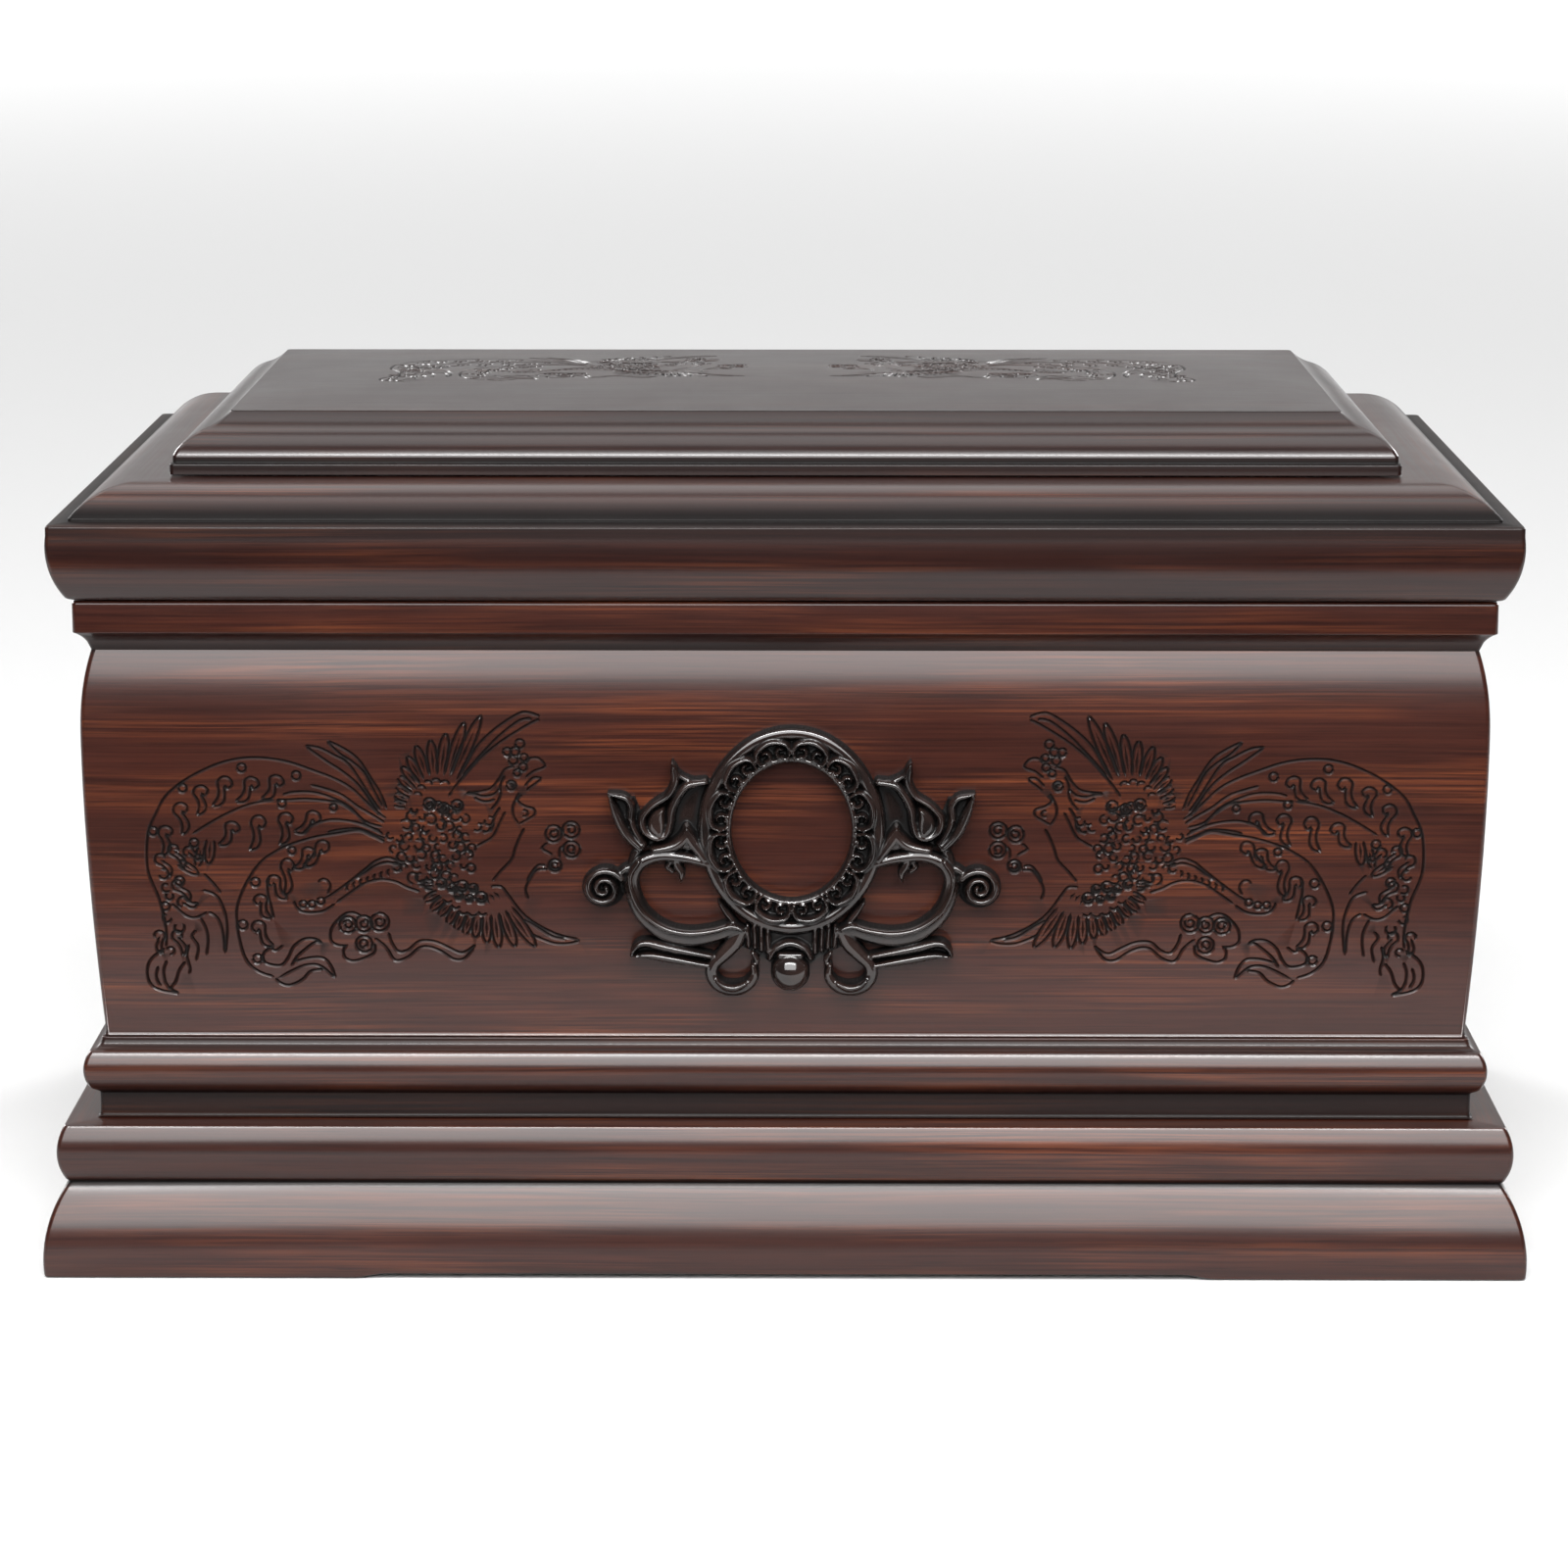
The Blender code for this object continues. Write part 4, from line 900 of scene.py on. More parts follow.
top_profile = [(BOARD_INSET, BOARD_BOTTOM), (BOARD_INSET, BOARD_BOTTOM + 2.7 * MM)]
top_profile += [(OGEE_INSET, BOARD_BOTTOM + 3.0 * MM), (OGEE_INSET, OGEE_BOTTOM)]
shoulder = (27.9 * MM, OGEE_BOTTOM + 1.4 * MM)
middle = (34.3 * MM, OGEE_BOTTOM + 5.8 * MM)
top_profile.append(shoulder)
top_profile += arc(shoulder, middle, 0.55 * MM, 12)[1:]
top_profile += arc(middle, (PLATEAU_INSET, PLATEAU), -0.38 * MM, 10)[1:]
points, faces, hollows = sweep(ease_arrises(top_profile), closed=False)
faces.append(tuple(range(len(ring_at(0.0, 0.0)))))
top_board = make_piece("lid_board", points, faces, hollows)
half_top_x = LID_WIDTH / 2.0 - PLATEAU_INSET
half_top_y = LID_DEPTH / 2.0 - PLATEAU_INSET


def on_plateau(x, y):
    """A point of the cambered top and the way it faces."""

    def height(px, py):
        across = min(1.0, abs(py) / half_top_y)
        along = min(1.0, abs(px) / half_top_x)
        return PLATEAU + CAMBER * (1.0 - across**2) * (1.0 - along**12)

    slope_x = (height(x + PROBE, y) - height(x - PROBE, y)) / (2.0 * PROBE)
    slope_y = (height(x, y + PROBE) - height(x, y - PROBE)) / (2.0 * PROBE)
    return Vector((x, y, height(x, y))), Vector((-slope_x, -slope_y, 1.0)).normalized()


ring = [(x, y) for x, y, _ in ring_at(PLATEAU_INSET, PLATEAU)]
lid_lines = place_birds(LID_BIRD_SPREAD, LID_BIRD_SET_BACK, BIRD_UNIT * LID_BIRD_SHARE)
add_sheet(top_board, engraved_sheet(lid_lines, ring, SHEET_SPACING, GROOVE_HALF_WIDTH * 0.9, on_plateau))
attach(top_board, "root")
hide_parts("lid_top_board")

# %% [markdown]
# ## The carved ornament
#
# The ornament is one flat-backed carving: an oval wreath for a portrait, two tulips, two
# C-shaped scrolls with volutes, two leaf wings and a ball. Sculpting it by hand would not give
# the same result twice. Instead every part of it is a stroke with a width and a rounded height,
# and a fine grid takes the height of the highest stroke at each point. Grid points near the
# outline are pulled exactly on to it, so the edge is clean.


# %% Strokes of the carving
class Carving:
    """Height and outline of a relief on a grid, in millimetres from the middle of its oval."""

    def __init__(self, low, high, cell):
        self.cell = cell
        across = np.arange(low[0], high[0], cell)
        upward = np.arange(low[1], high[1], cell)
        self.x, self.z = np.meshgrid(across, upward, indexing="ij")
        self.inside = np.full(self.x.shape, -9.0)
        self.height = np.zeros(self.x.shape)

    def stroke(self, line, crest, edge=2.6, closed=False, roundness=1.0):
        """A ridge along (x, z, half width), edge high at its borders and crest high in the middle."""
        count = len(line)
        away = np.full(self.x.shape, -9.0)
        share = np.zeros(self.x.shape)
        for index in range(count if closed else count - 1):
            ax, az, half_a = line[index]
            bx, bz, half_b = line[(index + 1) % count]
            reach = max(half_a, half_b) + 3 * self.cell
            spot = (self.x > min(ax, bx) - reach) & (self.x < max(ax, bx) + reach)
            spot &= (self.z > min(az, bz) - reach) & (self.z < max(az, bz) + reach)
            if not spot.any():
                continue
            x, z = self.x[spot], self.z[spot]
            length = max(1e-9, (bx - ax) ** 2 + (bz - az) ** 2)
            along = np.clip(((x - ax) * (bx - ax) + (z - az) * (bz - az)) / length, 0, 1)
            distance = np.hypot(x - ax - along * (bx - ax), z - az - along * (bz - az))
            half = half_a + along * (half_b - half_a)
            away[spot] = np.maximum(away[spot], half - distance)
            share[spot] = np.maximum(share[spot], (half - distance) / half)
        share = np.clip(share, 0.0, 1.0)
        dome = np.sqrt(1.0 - (1.0 - share) ** 2) ** roundness
        raised = np.where(away > -self.cell, edge + (crest - edge) * dome, 0.0)
        self.height = np.maximum(self.height, raised)
        self.inside = np.maximum(self.inside, away)

    def area(self, outline, level):
        """A flat area with this outline."""
        within = np.zeros(self.x.shape, bool)
        distance = np.full(self.x.shape, 9.0)
        for (ax, az), (bx, bz) in zip(outline, outline[1:] + outline[:1]):
            crossing = (az > self.z) != (bz > self.z)
            with np.errstate(divide="ignore", invalid="ignore"):
                where = self.x < ax + (self.z - az) / (bz - az) * (bx - ax)
            within ^= crossing & where
            length = (bx - ax) ** 2 + (bz - az) ** 2
            along = np.clip(((self.x - ax) * (bx - ax) + (self.z - az) * (bz - az)) / length, 0, 1)
            away = np.hypot(self.x - ax - along * (bx - ax), self.z - az - along * (bz - az))
            distance = np.minimum(distance, away)
        signed = np.where(within, distance, -distance)
        self.inside = np.maximum(self.inside, signed)
        self.height = np.maximum(self.height, np.where(signed > -self.cell, level, 0.0))

    def ball(self, x, z, radius, level):
        """A domed ball."""
        distance = np.hypot(self.x - x, self.z - z)
        dome = level * (0.35 + 0.65 * np.sqrt(np.clip(1.0 - (distance / radius) ** 2, 0.0, 1.0)))
        self.height = np.maximum(self.height, np.where(distance < radius + self.cell, dome, 0.0))
        self.inside = np.maximum(self.inside, radius - distance)


def oval(half_x, half_z, half_width, steps=96):
    """A closed line round an oval."""
    line = []
    for step in range(steps):
        angle = 2.0 * math.pi * step / steps
        line.append((half_x * math.cos(angle), half_z * math.sin(angle), half_width))
    return line


def volute(centre, outer, inner, start, turns, half_width, steps=60):
    """A spiral from its outer end in to its eye, thinner towards the eye."""
    line = []
    for step in range(steps + 1):
        share = step / steps
        angle = math.radians(start + 360.0 * turns * share)
        reach = outer + (inner - outer) * share**0.8
        half = half_width * (1 - 0.35 * share)
        line.append((centre[0] + reach * math.cos(angle), centre[1] + reach * math.sin(angle), half))
    return line


CARVING_CELL = 0.22
carving = Carving((-52.5, -43.0), (52.5, 28.0), CARVING_CELL)

# %% The wreath with its twelve shells
carving.stroke(oval(18.2, 21.0, 3.4), 2.4, edge=2.4, closed=True)
carving.stroke(oval(20.7, 24.0, 1.5), 4.6, edge=3.0, closed=True, roundness=0.8)
carving.stroke(oval(15.2, 17.7, 0.7), 4.2, edge=3.0, closed=True)
for shell in range(12):
    middle = math.radians(15.0 + 30.0 * shell)

    def around(turn, reach):
        """A point of the shell, by its turn in degrees and its reach beyond the inner rim."""
        angle = middle + math.radians(turn)
        return ((14.8 + reach) * math.cos(angle), (17.2 + reach) * math.sin(angle))

    rim = [(*around(turn, reach), half) for turn, reach, half in (
        (-12.6, 1.0, 0.35), (-13.4, 2.8, 0.55), (-10, 4.5, 0.7), (0, 5.4, 0.85), (10, 4.5, 0.7),
        (13.4, 2.8, 0.55), (12.6, 1.0, 0.35),
    )]
    carving.stroke(rounded(rim, 5), 5.6, edge=3.2)
    for side in (-1, 1):
        curl = [(*around(side * turn, reach), half) for turn, reach, half in (
            (8.4, 3.0, 0.3), (5.6, 3.4, 0.45), (3.0, 2.4, 0.5), (4.2, 1.2, 0.5), (7.4, 1.3, 0.4),
        )]
        carving.stroke(rounded(curl, 4), 4.8, edge=2.6)


# %% The scrolls, tulips and leaf wings, drawn once and mirrored
def carve_side(side):
    """One half of the ornament: tulip, C-scroll, volute, curled foot and leaf wing."""

    def stroke(points, crest, edge=2.6, steps=5, roundness=1.0):
        placed = rounded([(side * x, z, half) for x, z, half in points], steps)
        carving.stroke(placed, crest, edge, False, roundness)

    def area(points, level):
        carving.area([(side * x, z) for x, z in points], level)

    # Tulip: the ground between its petals, two petals, the bud and the bell of leaf below.
    area(((-42.0, 7.4), (-39.6, 1.0), (-36.4, -3.4), (-36.0, 4.0), (-37.6, 8.0)), 1.6)
    ground = (
        (-36.4, -3.4), (-30.0, -5.2), (-21.6, -5.0), (-20.4, 10.6), (-25.6, 11.4), (-33.0, 5.0),
        (-35.6, 0.0),
    )
    area(ground, 1.0)
    stroke(((-43.8, 9.3, 0.25), (-42.2, 4.6, 1.0), (-39.8, -0.6, 1.15), (-36.4, -4.2, 1.1)), 4.8)
    petal = ((-43.6, 9.2, 0.3), (-41.6, 8.7, 0.8), (-39.6, 8.0, 0.9), (-38.4, 6.0, 0.8), (-38.6, 3.0, 0.8))
    stroke(petal, 4.6)
    stroke(((-38.6, 3.4, 0.8), (-37.8, 0.6, 0.8), (-36.0, -2.6, 0.8)), 4.2)
    bloom = (
        (-28.5, 17.0, 0.25), (-28.0, 14.8, 1.0), (-27.9, 12.0, 1.1), (-29.6, 8.8, 1.0),
        (-33.2, 6.4, 0.9), (-35.7, 3.4, 0.95), (-35.2, 0.2, 1.0), (-32.6, -1.6, 1.0),
        (-30.2, -0.8, 0.95), (-29.2, 2.0, 0.9), (-28.8, 5.2, 1.0), (-27.2, 8.8, 1.1),
        (-24.8, 11.4, 1.1), (-20.8, 12.2, 1.0),
    )
    stroke(bloom, 5.4)
    stroke(((-30.8, 5.6, 0.4), (-32.0, 3.6, 1.8), (-32.3, 1.2, 2.3), (-31.8, -0.2, 1.4)), 5.8, edge=2.8)
    stroke(((-28.4, 15.8, 0.3), (-26.0, 13.2, 0.8), (-23.0, 11.9, 0.9)), 4.4)
    stroke(((-25.2, 1.0, 0.5), (-25.6, -1.6, 1.5), (-28.4, -3.8, 1.4), (-33.0, -4.6, 0.9)), 5.0)
    stroke(((-25.2, 1.0, 0.5), (-24.4, -1.8, 1.5), (-22.6, -4.4, 1.4), (-20.8, -7.0, 1.0)), 5.0)
    stroke(((-26.8, -3.0, 1.4), (-24.4, -3.6, 1.4)), 4.2, steps=2)
    stroke(((-35.8, -3.4, 1.1), (-37.4, -5.6, 1.1), (-38.4, -8.0, 1.0)), 4.2)
    # C-scroll, swelling to its foot, with a bright upper edge, and the foot's own curl.
    scroll = (
        (-20.2, -8.0, 1.1), (-25.0, -6.7, 1.3), (-31.5, -6.2, 1.4), (-36.3, -8.0, 1.6),
        (-38.4, -12.0, 1.75), (-37.6, -17.0, 1.9), (-35.0, -21.6, 2.1), (-30.2, -25.2, 2.35),
        (-24.6, -26.4, 2.4), (-19.0, -25.6, 2.2), (-15.0, -24.4, 2.0), (-12.4, -25.0, 1.7),
    )
    stroke(scroll, 4.8, edge=2.8, roundness=0.8)
    lip = tuple((x + 0.03 * (x + 26), z + 0.5 * half, 0.42 * half) for x, z, half in scroll[3:])
    stroke(lip, 5.8, edge=3.4)
    foot = (
        (-12.6, -25.4, 1.8), (-14.0, -28.0, 2.0), (-16.6, -30.8, 1.8), (-18.8, -33.2, 1.6),
        (-19.2, -36.0, 1.6), (-17.4, -38.5, 1.7), (-14.0, -39.4, 1.8), (-10.8, -38.4, 1.6),
        (-9.0, -36.0, 1.2), (-9.3, -33.4, 0.6),
    )
    stroke(foot, 4.8, edge=2.8, roundness=0.8)
    foot_lip = ((-18.0, -37.0, 0.5), (-16.2, -38.5, 0.9), (-13.6, -38.9, 1.0), (-11.2, -37.8, 0.7))
    stroke(foot_lip, 5.8, edge=3.4)
    stroke(((-27.9, -6.8, 1.0), (-27.3, -8.8, 1.1), (-26.4, -10.4, 0.9), (-26.6, -12.4, 0.3)), 4.4)
    stroke(((-28.6, -7.2, 0.6), (-29.8, -8.8, 0.7), (-28.6, -10.0, 0.5)), 3.8)
    # Volute and its link.
    eye_x, eye_z = -45.2, -14.2
    spiral = volute((eye_x, eye_z), 5.0, 0.7, 30.0, 2.0, 1.05)
    carving.stroke([(side * x, z, half) for x, z, half in spiral], 5.2, edge=2.6)
    carving.ball(side * eye_x, eye_z, 5.2, 2.6)
    stroke(((-41.6, -10.8, 1.1), (-39.8, -9.4, 1.1), (-37.4, -8.8, 1.1)), 4.4)
    # Leaf wing: ridges on a thin ground.
    ground = (
        (-37.4, -30.4), (-35.4, -27.0), (-28.6, -28.2), (-19.6, -30.6), (-19.2, -32.8), (-29.4, -32.2),
    )
    area(ground, 2.0)
    ridge = (
        (-38.8, -31.2, 0.25), (-37.4, -28.6, 0.9), (-34.8, -27.8, 1.1), (-29.0, -29.2, 1.2),
        (-19.4, -31.0, 0.8),
    )
    stroke(ridge, 5.2)
    stroke(((-38.8, -31.2, 0.25), (-34.4, -31.0, 0.9), (-28.6, -32.0, 1.1), (-19.6, -33.6, 0.7)), 4.6)
    # Fluted fan, and the small leaf that ties it to the wreath.
    area(((-12.8, -24.2), (0.6, -23.4), (0.6, -33.6), (-4.8, -33.2), (-8.6, -30.4), (-11.8, -29.0)), 2.2)
    for x, low in ((-10.6, -28.6), (-9.0, -29.0), (-7.4, -29.6), (-5.8, -30.2)):
        stroke(((x, -23.4, 0.5), (x + 0.2, low, 0.55)), 4.2, steps=2)
    stroke(((-17.4, -17.6, 0.4), (-15.4, -20.6, 0.9), (-12.2, -24.8, 0.8)), 4.4)
    stroke(((-9.4, -30.4, 0.5), (-8.4, -32.2, 0.7), (-9.0, -34.2, 0.5)), 3.8)


for side in (1, -1):
    carve_side(side)
collar = ((-5.2, -31.6, 0.6), (-3.9, -29.2, 0.9), (-0.3, -27.8, 1.05), (3.3, -29.2, 0.9), (4.6, -31.6, 0.6))
carving.stroke(rounded(collar, 6), 5.0)
carving.stroke([(-2.8, -30.9, 1.0), (2.2, -30.9, 1.0)], 4.6)
carving.ball(-0.3, -35.2, 4.7, 7.0)
print("share of the grid that is wood:", round(float((carving.inside > 0).mean()), 3))


# %% From heights to a mesh on the wall
ORNAMENT_SHIFT = 1.7 * MM
ORNAMENT_RISE = 52.3 * MM
BACK_GAP = 0.05 * MM


def carving_mesh(carving, name):
    """A closed relief: the carved front, and side walls down to a back that lies along the case."""
    inside, cell = carving.inside, carving.cell
    slope_x, slope_z = np.gradient(inside, cell)
    steep = np.maximum(0.5, slope_x**2 + slope_z**2)
    near = np.abs(inside) < 0.6 * cell
    x = np.where(near, carving.x - inside * slope_x / steep, carving.x)
    z = np.where(near, carving.z - inside * slope_z / steep, carving.z)
    kept = near | (inside > 0)
    height = np.where(kept, carving.height, 0.0)
    weight = kept.astype(float)
    for _ in range(2):
        total = height * weight
        spread = total.copy()
        count = weight.copy()
        for axis, way in ((0, 1), (0, -1), (1, 1), (1, -1)):
            spread += 0.35 * np.roll(total, way, axis)
            count += 0.35 * np.roll(weight, way, axis)
        height = np.where(kept, spread / np.maximum(count, 1e-9), 0.0)
    # How far each point lies below the mean of its surroundings, for the finish to paint shade into the
    # lows.
    # A point 0.05 mm above the mean counts as 0, and a point 0.4 mm below it as 1.
    around, level = height * weight, weight.copy()
    for _ in range(16):
        for axis in (0, 1):
            around = (around + np.roll(around, 1, axis) + np.roll(around, -1, axis)) / 3.0
            level = (level + np.roll(level, 1, axis) + np.roll(level, -1, axis)) / 3.0
    sunken = np.clip((around / np.maximum(level, 1e-6) - height + 0.05) / 0.45, 0.0, 1.0)
    number = np.full(inside.shape, -1)
    cells = kept[:-1, :-1] & kept[1:, :-1] & kept[1:, 1:] & kept[:-1, 1:]
    used = np.zeros(inside.shape, bool)
    for shift_x in (0, 1):
        for shift_z in (0, 1):
            used[shift_x : shift_x + cells.shape[0], shift_z : shift_z + cells.shape[1]] |= cells
    number[used] = np.arange(used.sum())
    front = []
    back = []
    hollows = [float(share) for share in sunken[used]]
    for i, j in np.argwhere(used):
        wall_x = ORNAMENT_SHIFT + x[i, j] * MM
        wall_z = CASE_BOTTOM + ORNAMENT_RISE + z[i, j] * MM
        point, _ = on_front(wall_x, wall_z)
        front.append((point.x, point.y - TOUCH_GAP - height[i, j] * MM, point.z))
        back.append((point.x, point.y - BACK_GAP, point.z))
    faces = []
    edges = {}
    for i, j in np.argwhere(cells):
        corners = (number[i, j], number[i + 1, j], number[i + 1, j + 1], number[i, j + 1])
        corners = tuple(int(corner) for corner in corners)
        faces.append(corners)
        for a, b in zip(corners, corners[1:] + corners[:1]):
            edges[(a, b)] = True
    rim = [(a, b) for a, b in edges if (b, a) not in edges]
    shift = len(front)
    faces += [(b, a, a + shift, b + shift) for a, b in rim]
    used_back = sorted({corner for pair in rim for corner in pair})
    renumber = {corner + shift: shift + index for index, corner in enumerate(used_back)}
    faces = [tuple(renumber.get(corner, corner) for corner in face) for face in faces]
    points = front + [back[corner] for corner in used_back]
    # The back points count as fully hollow, so the side walls are painted dark as shade towards the case.
    return make_piece(name, points, faces, hollows + [1.0] * len(used_back), sharper_than=55.0)


ornament = carving_mesh(carving, "carved_ornament")
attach(ornament, "root")
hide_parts("front_ornament")

# %% [markdown]
# ## The wood
#
# The real wood is dark red-brown with fine streaks along each board, some nearly black and some
# glowing orange. An image would stretch over the mouldings, so the grain is worked out in
# space: noise that is drawn out long along the board and kept short across it. The boards of
# a frame meet in mitres, so the grain turns at the corners. Several pieces use this effect, so
# it is one node group with named inputs and outputs, and each material mixes its own colours.


# %% A small helper for shader nodes
def add_node(tree, kind, inputs=None, **settings):
    """Adds a node, sets its properties, and sets or links its inputs."""
    node = tree.nodes.new(kind)
    for name, value in settings.items():
        setattr(node, name, value)
    for name, value in (inputs or {}).items():
        if isinstance(value, bpy.types.NodeSocket):
            tree.links.new(value, node.inputs[name])
        else:
            node.inputs[name].default_value = value
    return node


def add_math(tree, operation, first, second=0.0, third=0.0):
    """The result of one sum."""
    node = add_node(tree, "ShaderNodeMath", {0: first, 1: second, 2: third}, operation=operation)
    return node.outputs[0]


def add_noise(tree, place, scale, detail, low, high, roughness=0.5):
    """Noise stretched so that low becomes 0 and high becomes 1."""
    inputs = {"Vector": place, "Scale": scale, "Detail": detail, "Roughness": roughness}
    texture = add_node(tree, "ShaderNodeTexNoise", inputs)
    inputs = {"Value": texture.outputs[0], "From Min": low, "From Max": high}
    return add_node(tree, "ShaderNodeMapRange", inputs).outputs[0]


# %% Grain that turns at the mitres
def build_grain():
    """A group with the grain's broad tone, streaks, glowing patches and pores, each from 0 to 1."""
    tree = bpy.data.node_groups.new("board_grain", "ShaderNodeTree")
    for name, value in (("Mitred", 1.0), ("Shift", 0.0)):
        socket = tree.interface.new_socket(name, in_out="INPUT", socket_type="NodeSocketFloat")
        socket.default_value = value
    for name in ("Tone", "Streak", "Glow", "Pore"):
        tree.interface.new_socket(name, in_out="OUTPUT", socket_type="NodeSocketFloat")
    group_in = add_node(tree, "NodeGroupInput")
    place = add_node(tree, "ShaderNodeTexCoord").outputs["Object"]
    split = add_node(tree, "ShaderNodeSeparateXYZ", {"Vector": place})
    x, y, z = split.outputs
    to_side = add_math(tree, "SUBTRACT", LID_WIDTH / 2.0, add_math(tree, "ABSOLUTE", x))
    to_front = add_math(tree, "SUBTRACT", LID_DEPTH / 2.0, add_math(tree, "ABSOLUTE", y))
    turned = add_math(tree, "LESS_THAN", to_side, to_front)
    turned = add_math(tree, "MULTIPLY", turned, group_in.outputs["Mitred"])
    apart = add_math(tree, "SUBTRACT", y, x)
    along = add_math(tree, "MULTIPLY_ADD", apart, turned, x)
    across = add_math(tree, "SUBTRACT", y, add_math(tree, "MULTIPLY", apart, turned))
    across = add_math(tree, "ADD", across, add_math(tree, "MULTIPLY", turned, 0.7))
    across = add_math(tree, "ADD", across, group_in.outputs["Shift"])
    slow = add_math(tree, "MULTIPLY", along, 6.0)
    wave_place = add_node(tree, "ShaderNodeCombineXYZ", {0: slow, 1: across, 2: z}).outputs[0]
    wave = add_node(tree, "ShaderNodeTexNoise", {"Vector": wave_place, "Scale": 1.0, "Detail": 1.0})
    sway = add_math(tree, "MULTIPLY", add_math(tree, "SUBTRACT", wave.outputs[0], 0.5), 0.0035)
    across = add_math(tree, "ADD", across, sway)
    up = add_math(tree, "ADD", z, sway)

    def noise(stretch_along, stretch_across, detail, low, high):
        parts = {
            0: add_math(tree, "MULTIPLY", along, stretch_along),
            1: add_math(tree, "MULTIPLY", across, stretch_across),
            2: add_math(tree, "MULTIPLY", up, stretch_across),
        }
        where = add_node(tree, "ShaderNodeCombineXYZ", parts).outputs[0]
        return add_noise(tree, where, 1.0, detail, low, high, roughness=0.7)

    tone = noise(4.0, 300.0, 4.0, 0.26, 0.74)
    streak = noise(14.0, 1500.0, 3.0, 0.30, 0.72)
    patch = noise(8.0, 90.0, 2.0, 0.46, 0.76)
    thread = noise(16.0, 1500.0, 3.0, 0.42, 0.74)
    pore = noise(50.0, 3600.0, 2.0, 0.56, 0.74)
    glow = add_math(tree, "MULTIPLY", patch, thread)
    outputs = {"Tone": tone, "Streak": streak, "Glow": glow, "Pore": pore}
    add_node(tree, "NodeGroupOutput", outputs)
    return tree


board_grain = build_grain()
print("grain group:", len(board_grain.nodes), "nodes")

# %% [markdown]
# ## Rubbed lacquer
#
# Under a studio light the gloss of the lacquer is never even: it was rubbed down by hand.
# A second group gives slow, cloudy variation for the roughness, and both glossy finishes use it.


# %% Cloudy variation
def build_rubbed():
    """A group with a slow cloudy value from 0 to 1."""
    tree = bpy.data.node_groups.new("rubbed_lacquer", "ShaderNodeTree")
    socket = tree.interface.new_socket("Size", in_out="INPUT", socket_type="NodeSocketFloat")
    socket.default_value = 30.0
    tree.interface.new_socket("Cloud", in_out="OUTPUT", socket_type="NodeSocketFloat")
    group_in = add_node(tree, "NodeGroupInput")
    place = add_node(tree, "ShaderNodeTexCoord").outputs["Object"]
    cloud = add_noise(tree, place, group_in.outputs["Size"], 3.0, 0.3, 0.7)
    add_node(tree, "NodeGroupOutput", {"Cloud": cloud})
    return tree


rubbed_lacquer = build_rubbed()

# %% [markdown]
# ## Lacquered wood, raw board and black carving
#
# The lacquered wood layers the grain from dark to light, then a clear coat on top. The coat is what
# gives the crisp lines on the mouldings, while the wood below stays softer. In the hollows and
# grooves both glossy finishes paint shade: a darker colour and less gloss.


# %% Finishes
DARK_TONE = (0.0072, 0.0024, 0.0020, 1.0)
LIGHT_TONE = (0.0250, 0.0062, 0.0039, 1.0)
# A darker, greyer tone that the light setting of a finish mixes in.
DARKENING_TONE = (0.0032, 0.0020, 0.0023, 1.0)
# Painted shade, for the hollows of the mouldings, the grooves and the lows of the carving.
PAINTED_SHADE_BLACK = (0.0008, 0.0005, 0.0005, 1.0)


def mix_colour(tree, share, first, second):
    """A mix of two colours by a share."""
    node = add_node(tree, "ShaderNodeMix", {"Factor": share}, data_type="RGBA")
    for index, value in ((6, first), (7, second)):
        if isinstance(value, bpy.types.NodeSocket):
            tree.links.new(value, node.inputs[index])
        else:
            node.inputs[index].default_value = value
    return node.outputs[2]


def new_material(name):
    """A new material with its node tree and its main shader."""
    material = bpy.data.materials.new(name)
    material.use_nodes = True
    return material, material.node_tree, material.node_tree.nodes["Principled BSDF"]


def add_grain(tree, shift, mitred):
    """The outputs of the grain group, shifted so that no two boards are alike."""
    grain = add_node(tree, "ShaderNodeGroup", node_tree=board_grain)
    grain.inputs["Mitred"].default_value = mitred
    grain.inputs["Shift"].default_value = shift
    return grain.outputs


def add_cloud(tree, size):
    """The cloudy value, with more and smaller clouds where the size is larger."""
    cloud = add_node(tree, "ShaderNodeGroup", node_tree=rubbed_lacquer)
    cloud.inputs["Size"].default_value = size
    return cloud.outputs["Cloud"]


def add_bump(tree, shader, height, strength, distance):
    """Fine relief on the surface of a shader."""
    bump = add_node(tree, "ShaderNodeBump", {"Height": height})
    bump.inputs["Strength"].default_value = strength
    bump.inputs["Distance"].default_value = distance
    tree.links.new(bump.outputs["Normal"], shader.inputs["Normal"])


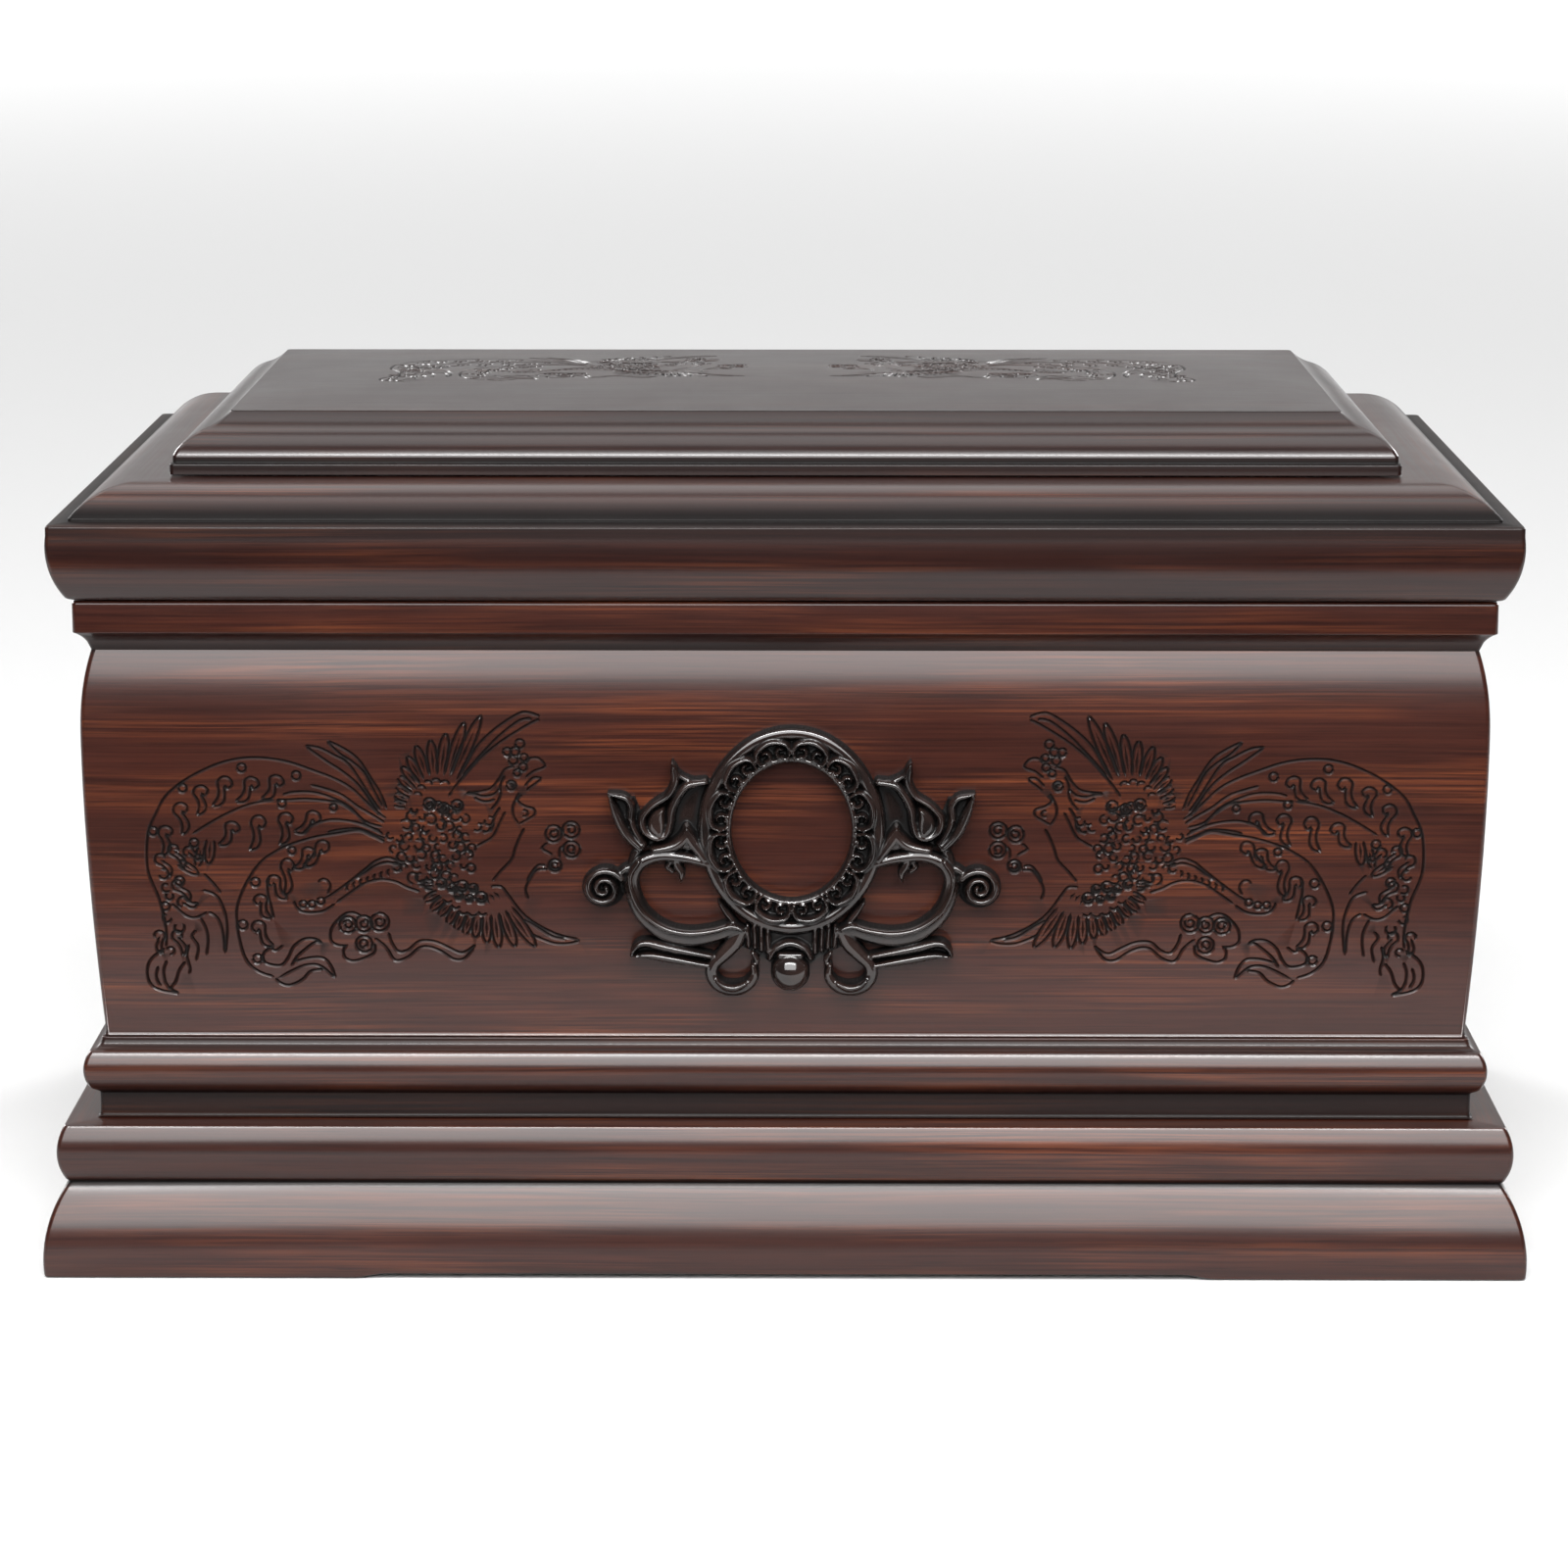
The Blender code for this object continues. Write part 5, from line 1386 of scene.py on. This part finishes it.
def lacquered_wood(name, shift, mitred=1.0, light=1.0):
    """Dark red-brown wood with orange streaks under a clear coat, and painted shade in its hollows. A light
    below 1 mixes the colour towards a darker tone.
    """
    material, tree, shader = new_material(name)
    grain = add_grain(tree, shift, mitred)
    base = mix_colour(tree, grain["Tone"], DARK_TONE, LIGHT_TONE)
    for output, share, colour in (
        ("Streak", 0.60, (0.044, 0.0114, 0.0064, 1.0)),
        ("Glow", 0.85, (0.160, 0.042, 0.014, 1.0)),
        ("Pore", 0.60, (0.0038, 0.0019, 0.0016, 1.0)),
    ):
        base = mix_colour(tree, add_math(tree, "MULTIPLY", grain[output], share), base, colour)
    base = mix_colour(tree, 1.0 - light, base, DARKENING_TONE)
    # Painted shade: the hollows and grooves are mixed towards black, with a rougher, thinner coat.
    hollow = add_node(tree, "ShaderNodeAttribute", attribute_name="hollow").outputs["Fac"]
    hollow = add_math(tree, "POWER", hollow, 0.6)
    base = mix_colour(tree, add_math(tree, "MULTIPLY", hollow, 0.95), base, PAINTED_SHADE_BLACK)
    tree.links.new(base, shader.inputs["Base Color"])
    rough = add_math(tree, "MULTIPLY_ADD", add_cloud(tree, 24.0), 0.10, 0.27)
    rough = add_math(tree, "MULTIPLY_ADD", grain["Streak"], 0.05, rough)
    rough = add_math(tree, "MULTIPLY_ADD", hollow, 0.35, rough)
    tree.links.new(rough, shader.inputs["Roughness"])
    add_bump(tree, shader, grain["Streak"], 0.10, 0.0001)
    shader.inputs["Specular IOR Level"].default_value = 0.12
    sheen = add_math(tree, "MULTIPLY_ADD", hollow, -0.62, 0.68)
    tree.links.new(sheen, shader.inputs["Coat Weight"])
    shader.inputs["Coat Roughness"].default_value = 0.20
    return material


def black_carving(name):
    """Ebonised wood, nearly black, with a brown breath where it was rubbed, and painted shade in the lows
    of the relief.
    """
    material, tree, shader = new_material(name)
    cloud = add_cloud(tree, 150.0)
    # Painted shade: the lows of the relief and its side walls are mixed towards black.
    hollow = add_node(tree, "ShaderNodeAttribute", attribute_name="hollow").outputs["Fac"]
    base = mix_colour(tree, cloud, (0.0050, 0.0036, 0.0034, 1.0), (0.016, 0.009, 0.0075, 1.0))
    base = mix_colour(tree, hollow, base, PAINTED_SHADE_BLACK)
    tree.links.new(base, shader.inputs["Base Color"])
    sheen = add_math(tree, "MULTIPLY_ADD", hollow, -0.90, 1.0)
    tree.links.new(sheen, shader.inputs["Coat Weight"])
    rough = add_math(tree, "MULTIPLY_ADD", cloud, 0.05, 0.16)
    rough = add_math(tree, "MULTIPLY_ADD", hollow, 0.40, rough)
    tree.links.new(rough, shader.inputs["Roughness"])
    add_bump(tree, shader, cloud, 0.15, 0.0002)
    shader.inputs["Specular IOR Level"].default_value = 0.20
    shader.inputs["Coat Roughness"].default_value = 0.06
    return material


def raw_board(name):
    """The plain sanded board under the urn."""
    material, tree, shader = new_material(name)
    grain = add_grain(tree, 2.3, 0.0)
    base = mix_colour(tree, grain["Tone"], (0.085, 0.035, 0.020, 1.0), (0.150, 0.070, 0.040, 1.0))
    base = mix_colour(tree, grain["Pore"], base, (0.040, 0.018, 0.012, 1.0))
    tree.links.new(base, shader.inputs["Base Color"])
    rough = add_math(tree, "MULTIPLY_ADD", grain["Streak"], 0.15, 0.5)
    tree.links.new(rough, shader.inputs["Roughness"])
    return material


# %% Dress every piece
finishes = (
    (plinth, lacquered_wood("plinth_wood", 0.00, light=0.85)),
    (waist, lacquered_wood("waist_wood", 0.31, light=0.85)),
    (case, lacquered_wood("case_wood", 0.62)),
    (lid_moulding, lacquered_wood("lid_frame_wood", 0.93, light=0.65)),
    (top_board, lacquered_wood("lid_board_wood", 1.24, mitred=0.0, light=0.35)),
    (ornament, black_carving("black_carving")),
)
for piece, finish in finishes:
    piece.data.materials.clear()
    piece.data.materials.append(finish)
base_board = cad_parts["base_board"]
board_finish = raw_board("raw_board_wood")
for slot in base_board.material_slots:
    slot.material = board_finish
print("finishes:", len(finishes) + 1)

# %% [markdown]
# ## Floor, light and camera
#
# The photograph is a studio picture with soft light from above and in front, dark surroundings
# that keep the wood deep, and a plain pale ground. A large softbox in front gives the pale bands
# on every moulding that leans forwards, and a narrow bright strip before it lights the crests of
# the carving. Two lamps above and behind grey the lid, and two at the sides whiten the ground. The
# floor ends just outside the picture in front, so that the lower mouldings don't mirror it.


# %% Floor
FLOOR_FRONT = -0.315
FLOOR_BACK = 12.0
HALF_WIDTH = 9.0
WALL_HEIGHT = 6.0


def add_plane(name, start, end, finish_name, grey):
    """A plain, even, matt plane as wide as the studio, between two places given as (y, z)."""
    corners = [(-HALF_WIDTH, *start), (HALF_WIDTH, *start), (HALF_WIDTH, *end), (-HALF_WIDTH, *end)]
    mesh = bpy.data.meshes.new(name)
    mesh.from_pydata(corners, [], [(0, 1, 2, 3)])
    plane = bpy.data.objects.new(name, mesh)
    material, _, shader = new_material(finish_name)
    shader.inputs["Base Color"].default_value = (grey, grey, grey, 1.0)
    shader.inputs["Roughness"].default_value = 0.9
    mesh.materials.append(material)
    bpy.context.scene.collection.objects.link(plane)
    return plane


floor = add_plane("floor", (FLOOR_FRONT, 0.0), (FLOOR_BACK, 0.0), "pale_floor", 0.50)
floor.location.z = -0.2 * MM
wall = add_plane("backdrop", (FLOOR_BACK, 0.0), (FLOOR_BACK, WALL_HEIGHT), "grey_wall", 0.27)


# %% Lamps
def add_lamp(name, place, aim, size, radiance):
    """A rectangular soft lamp at place, turned to face aim, equally bright whatever its size."""
    lamp = bpy.data.lights.new(name, "AREA")
    lamp.shape = "RECTANGLE"
    lamp.size, lamp.size_y = size
    lamp.energy = radiance * math.pi * size[0] * size[1]
    holder = bpy.data.objects.new(name, lamp)
    holder.location = place
    holder.rotation_euler = (Vector(aim) - Vector(place)).to_track_quat("-Z", "Y").to_euler()
    bpy.context.scene.collection.objects.link(holder)


urn_middle = (0.0, 0.0, 0.10)
add_lamp("front_softbox", (0.0, -1.27, 1.02), urn_middle, (2.0, 1.38), 7.0)
add_lamp("key_strip", (0.0, -0.84, 1.10), urn_middle, (1.3, 0.08), 66.0)
add_lamp("rear_ceiling_lamp", (0.0, 7.0, 6.0), (0.0, 7.0, 0.0), (14.0, 6.0), 1.4)
add_lamp("overhead_lamp", (0.0, 0.45, 2.6), (0.0, 0.45, 0.0), (3.2, 1.2), 2.4)
for side, title in ((-1, "left"), (1, "right")):
    add_lamp(f"ground_lamp_{title}", (side * 6.0, 7.0, 3.5), (0.0, 6.0, 0.0), (4.0, 3.0), 20.0)
world = bpy.data.worlds.new("studio")
bpy.context.scene.world = world
world.use_nodes = True
background = world.node_tree.nodes["Background"]
background.inputs["Color"].default_value = (0.045, 0.045, 0.046, 1.0)
background.inputs["Strength"].default_value = 1.0

# %% Camera, from the fit to the photograph
camera_data = bpy.data.cameras.new("camera")
camera_data.sensor_width = 36.0
camera_data.lens = 112.5
camera_data.clip_end = 100.0
camera = bpy.data.objects.new("camera", camera_data)
camera.location = (7.93 * MM, -1251.2 * MM, 355.42 * MM)
camera.rotation_euler = (math.pi / 2.0 - 0.2014, 0.0, 0.007)
bpy.context.scene.collection.objects.link(camera)
bpy.context.scene.camera = camera
bpy.context.scene.view_settings.view_transform = "Standard"
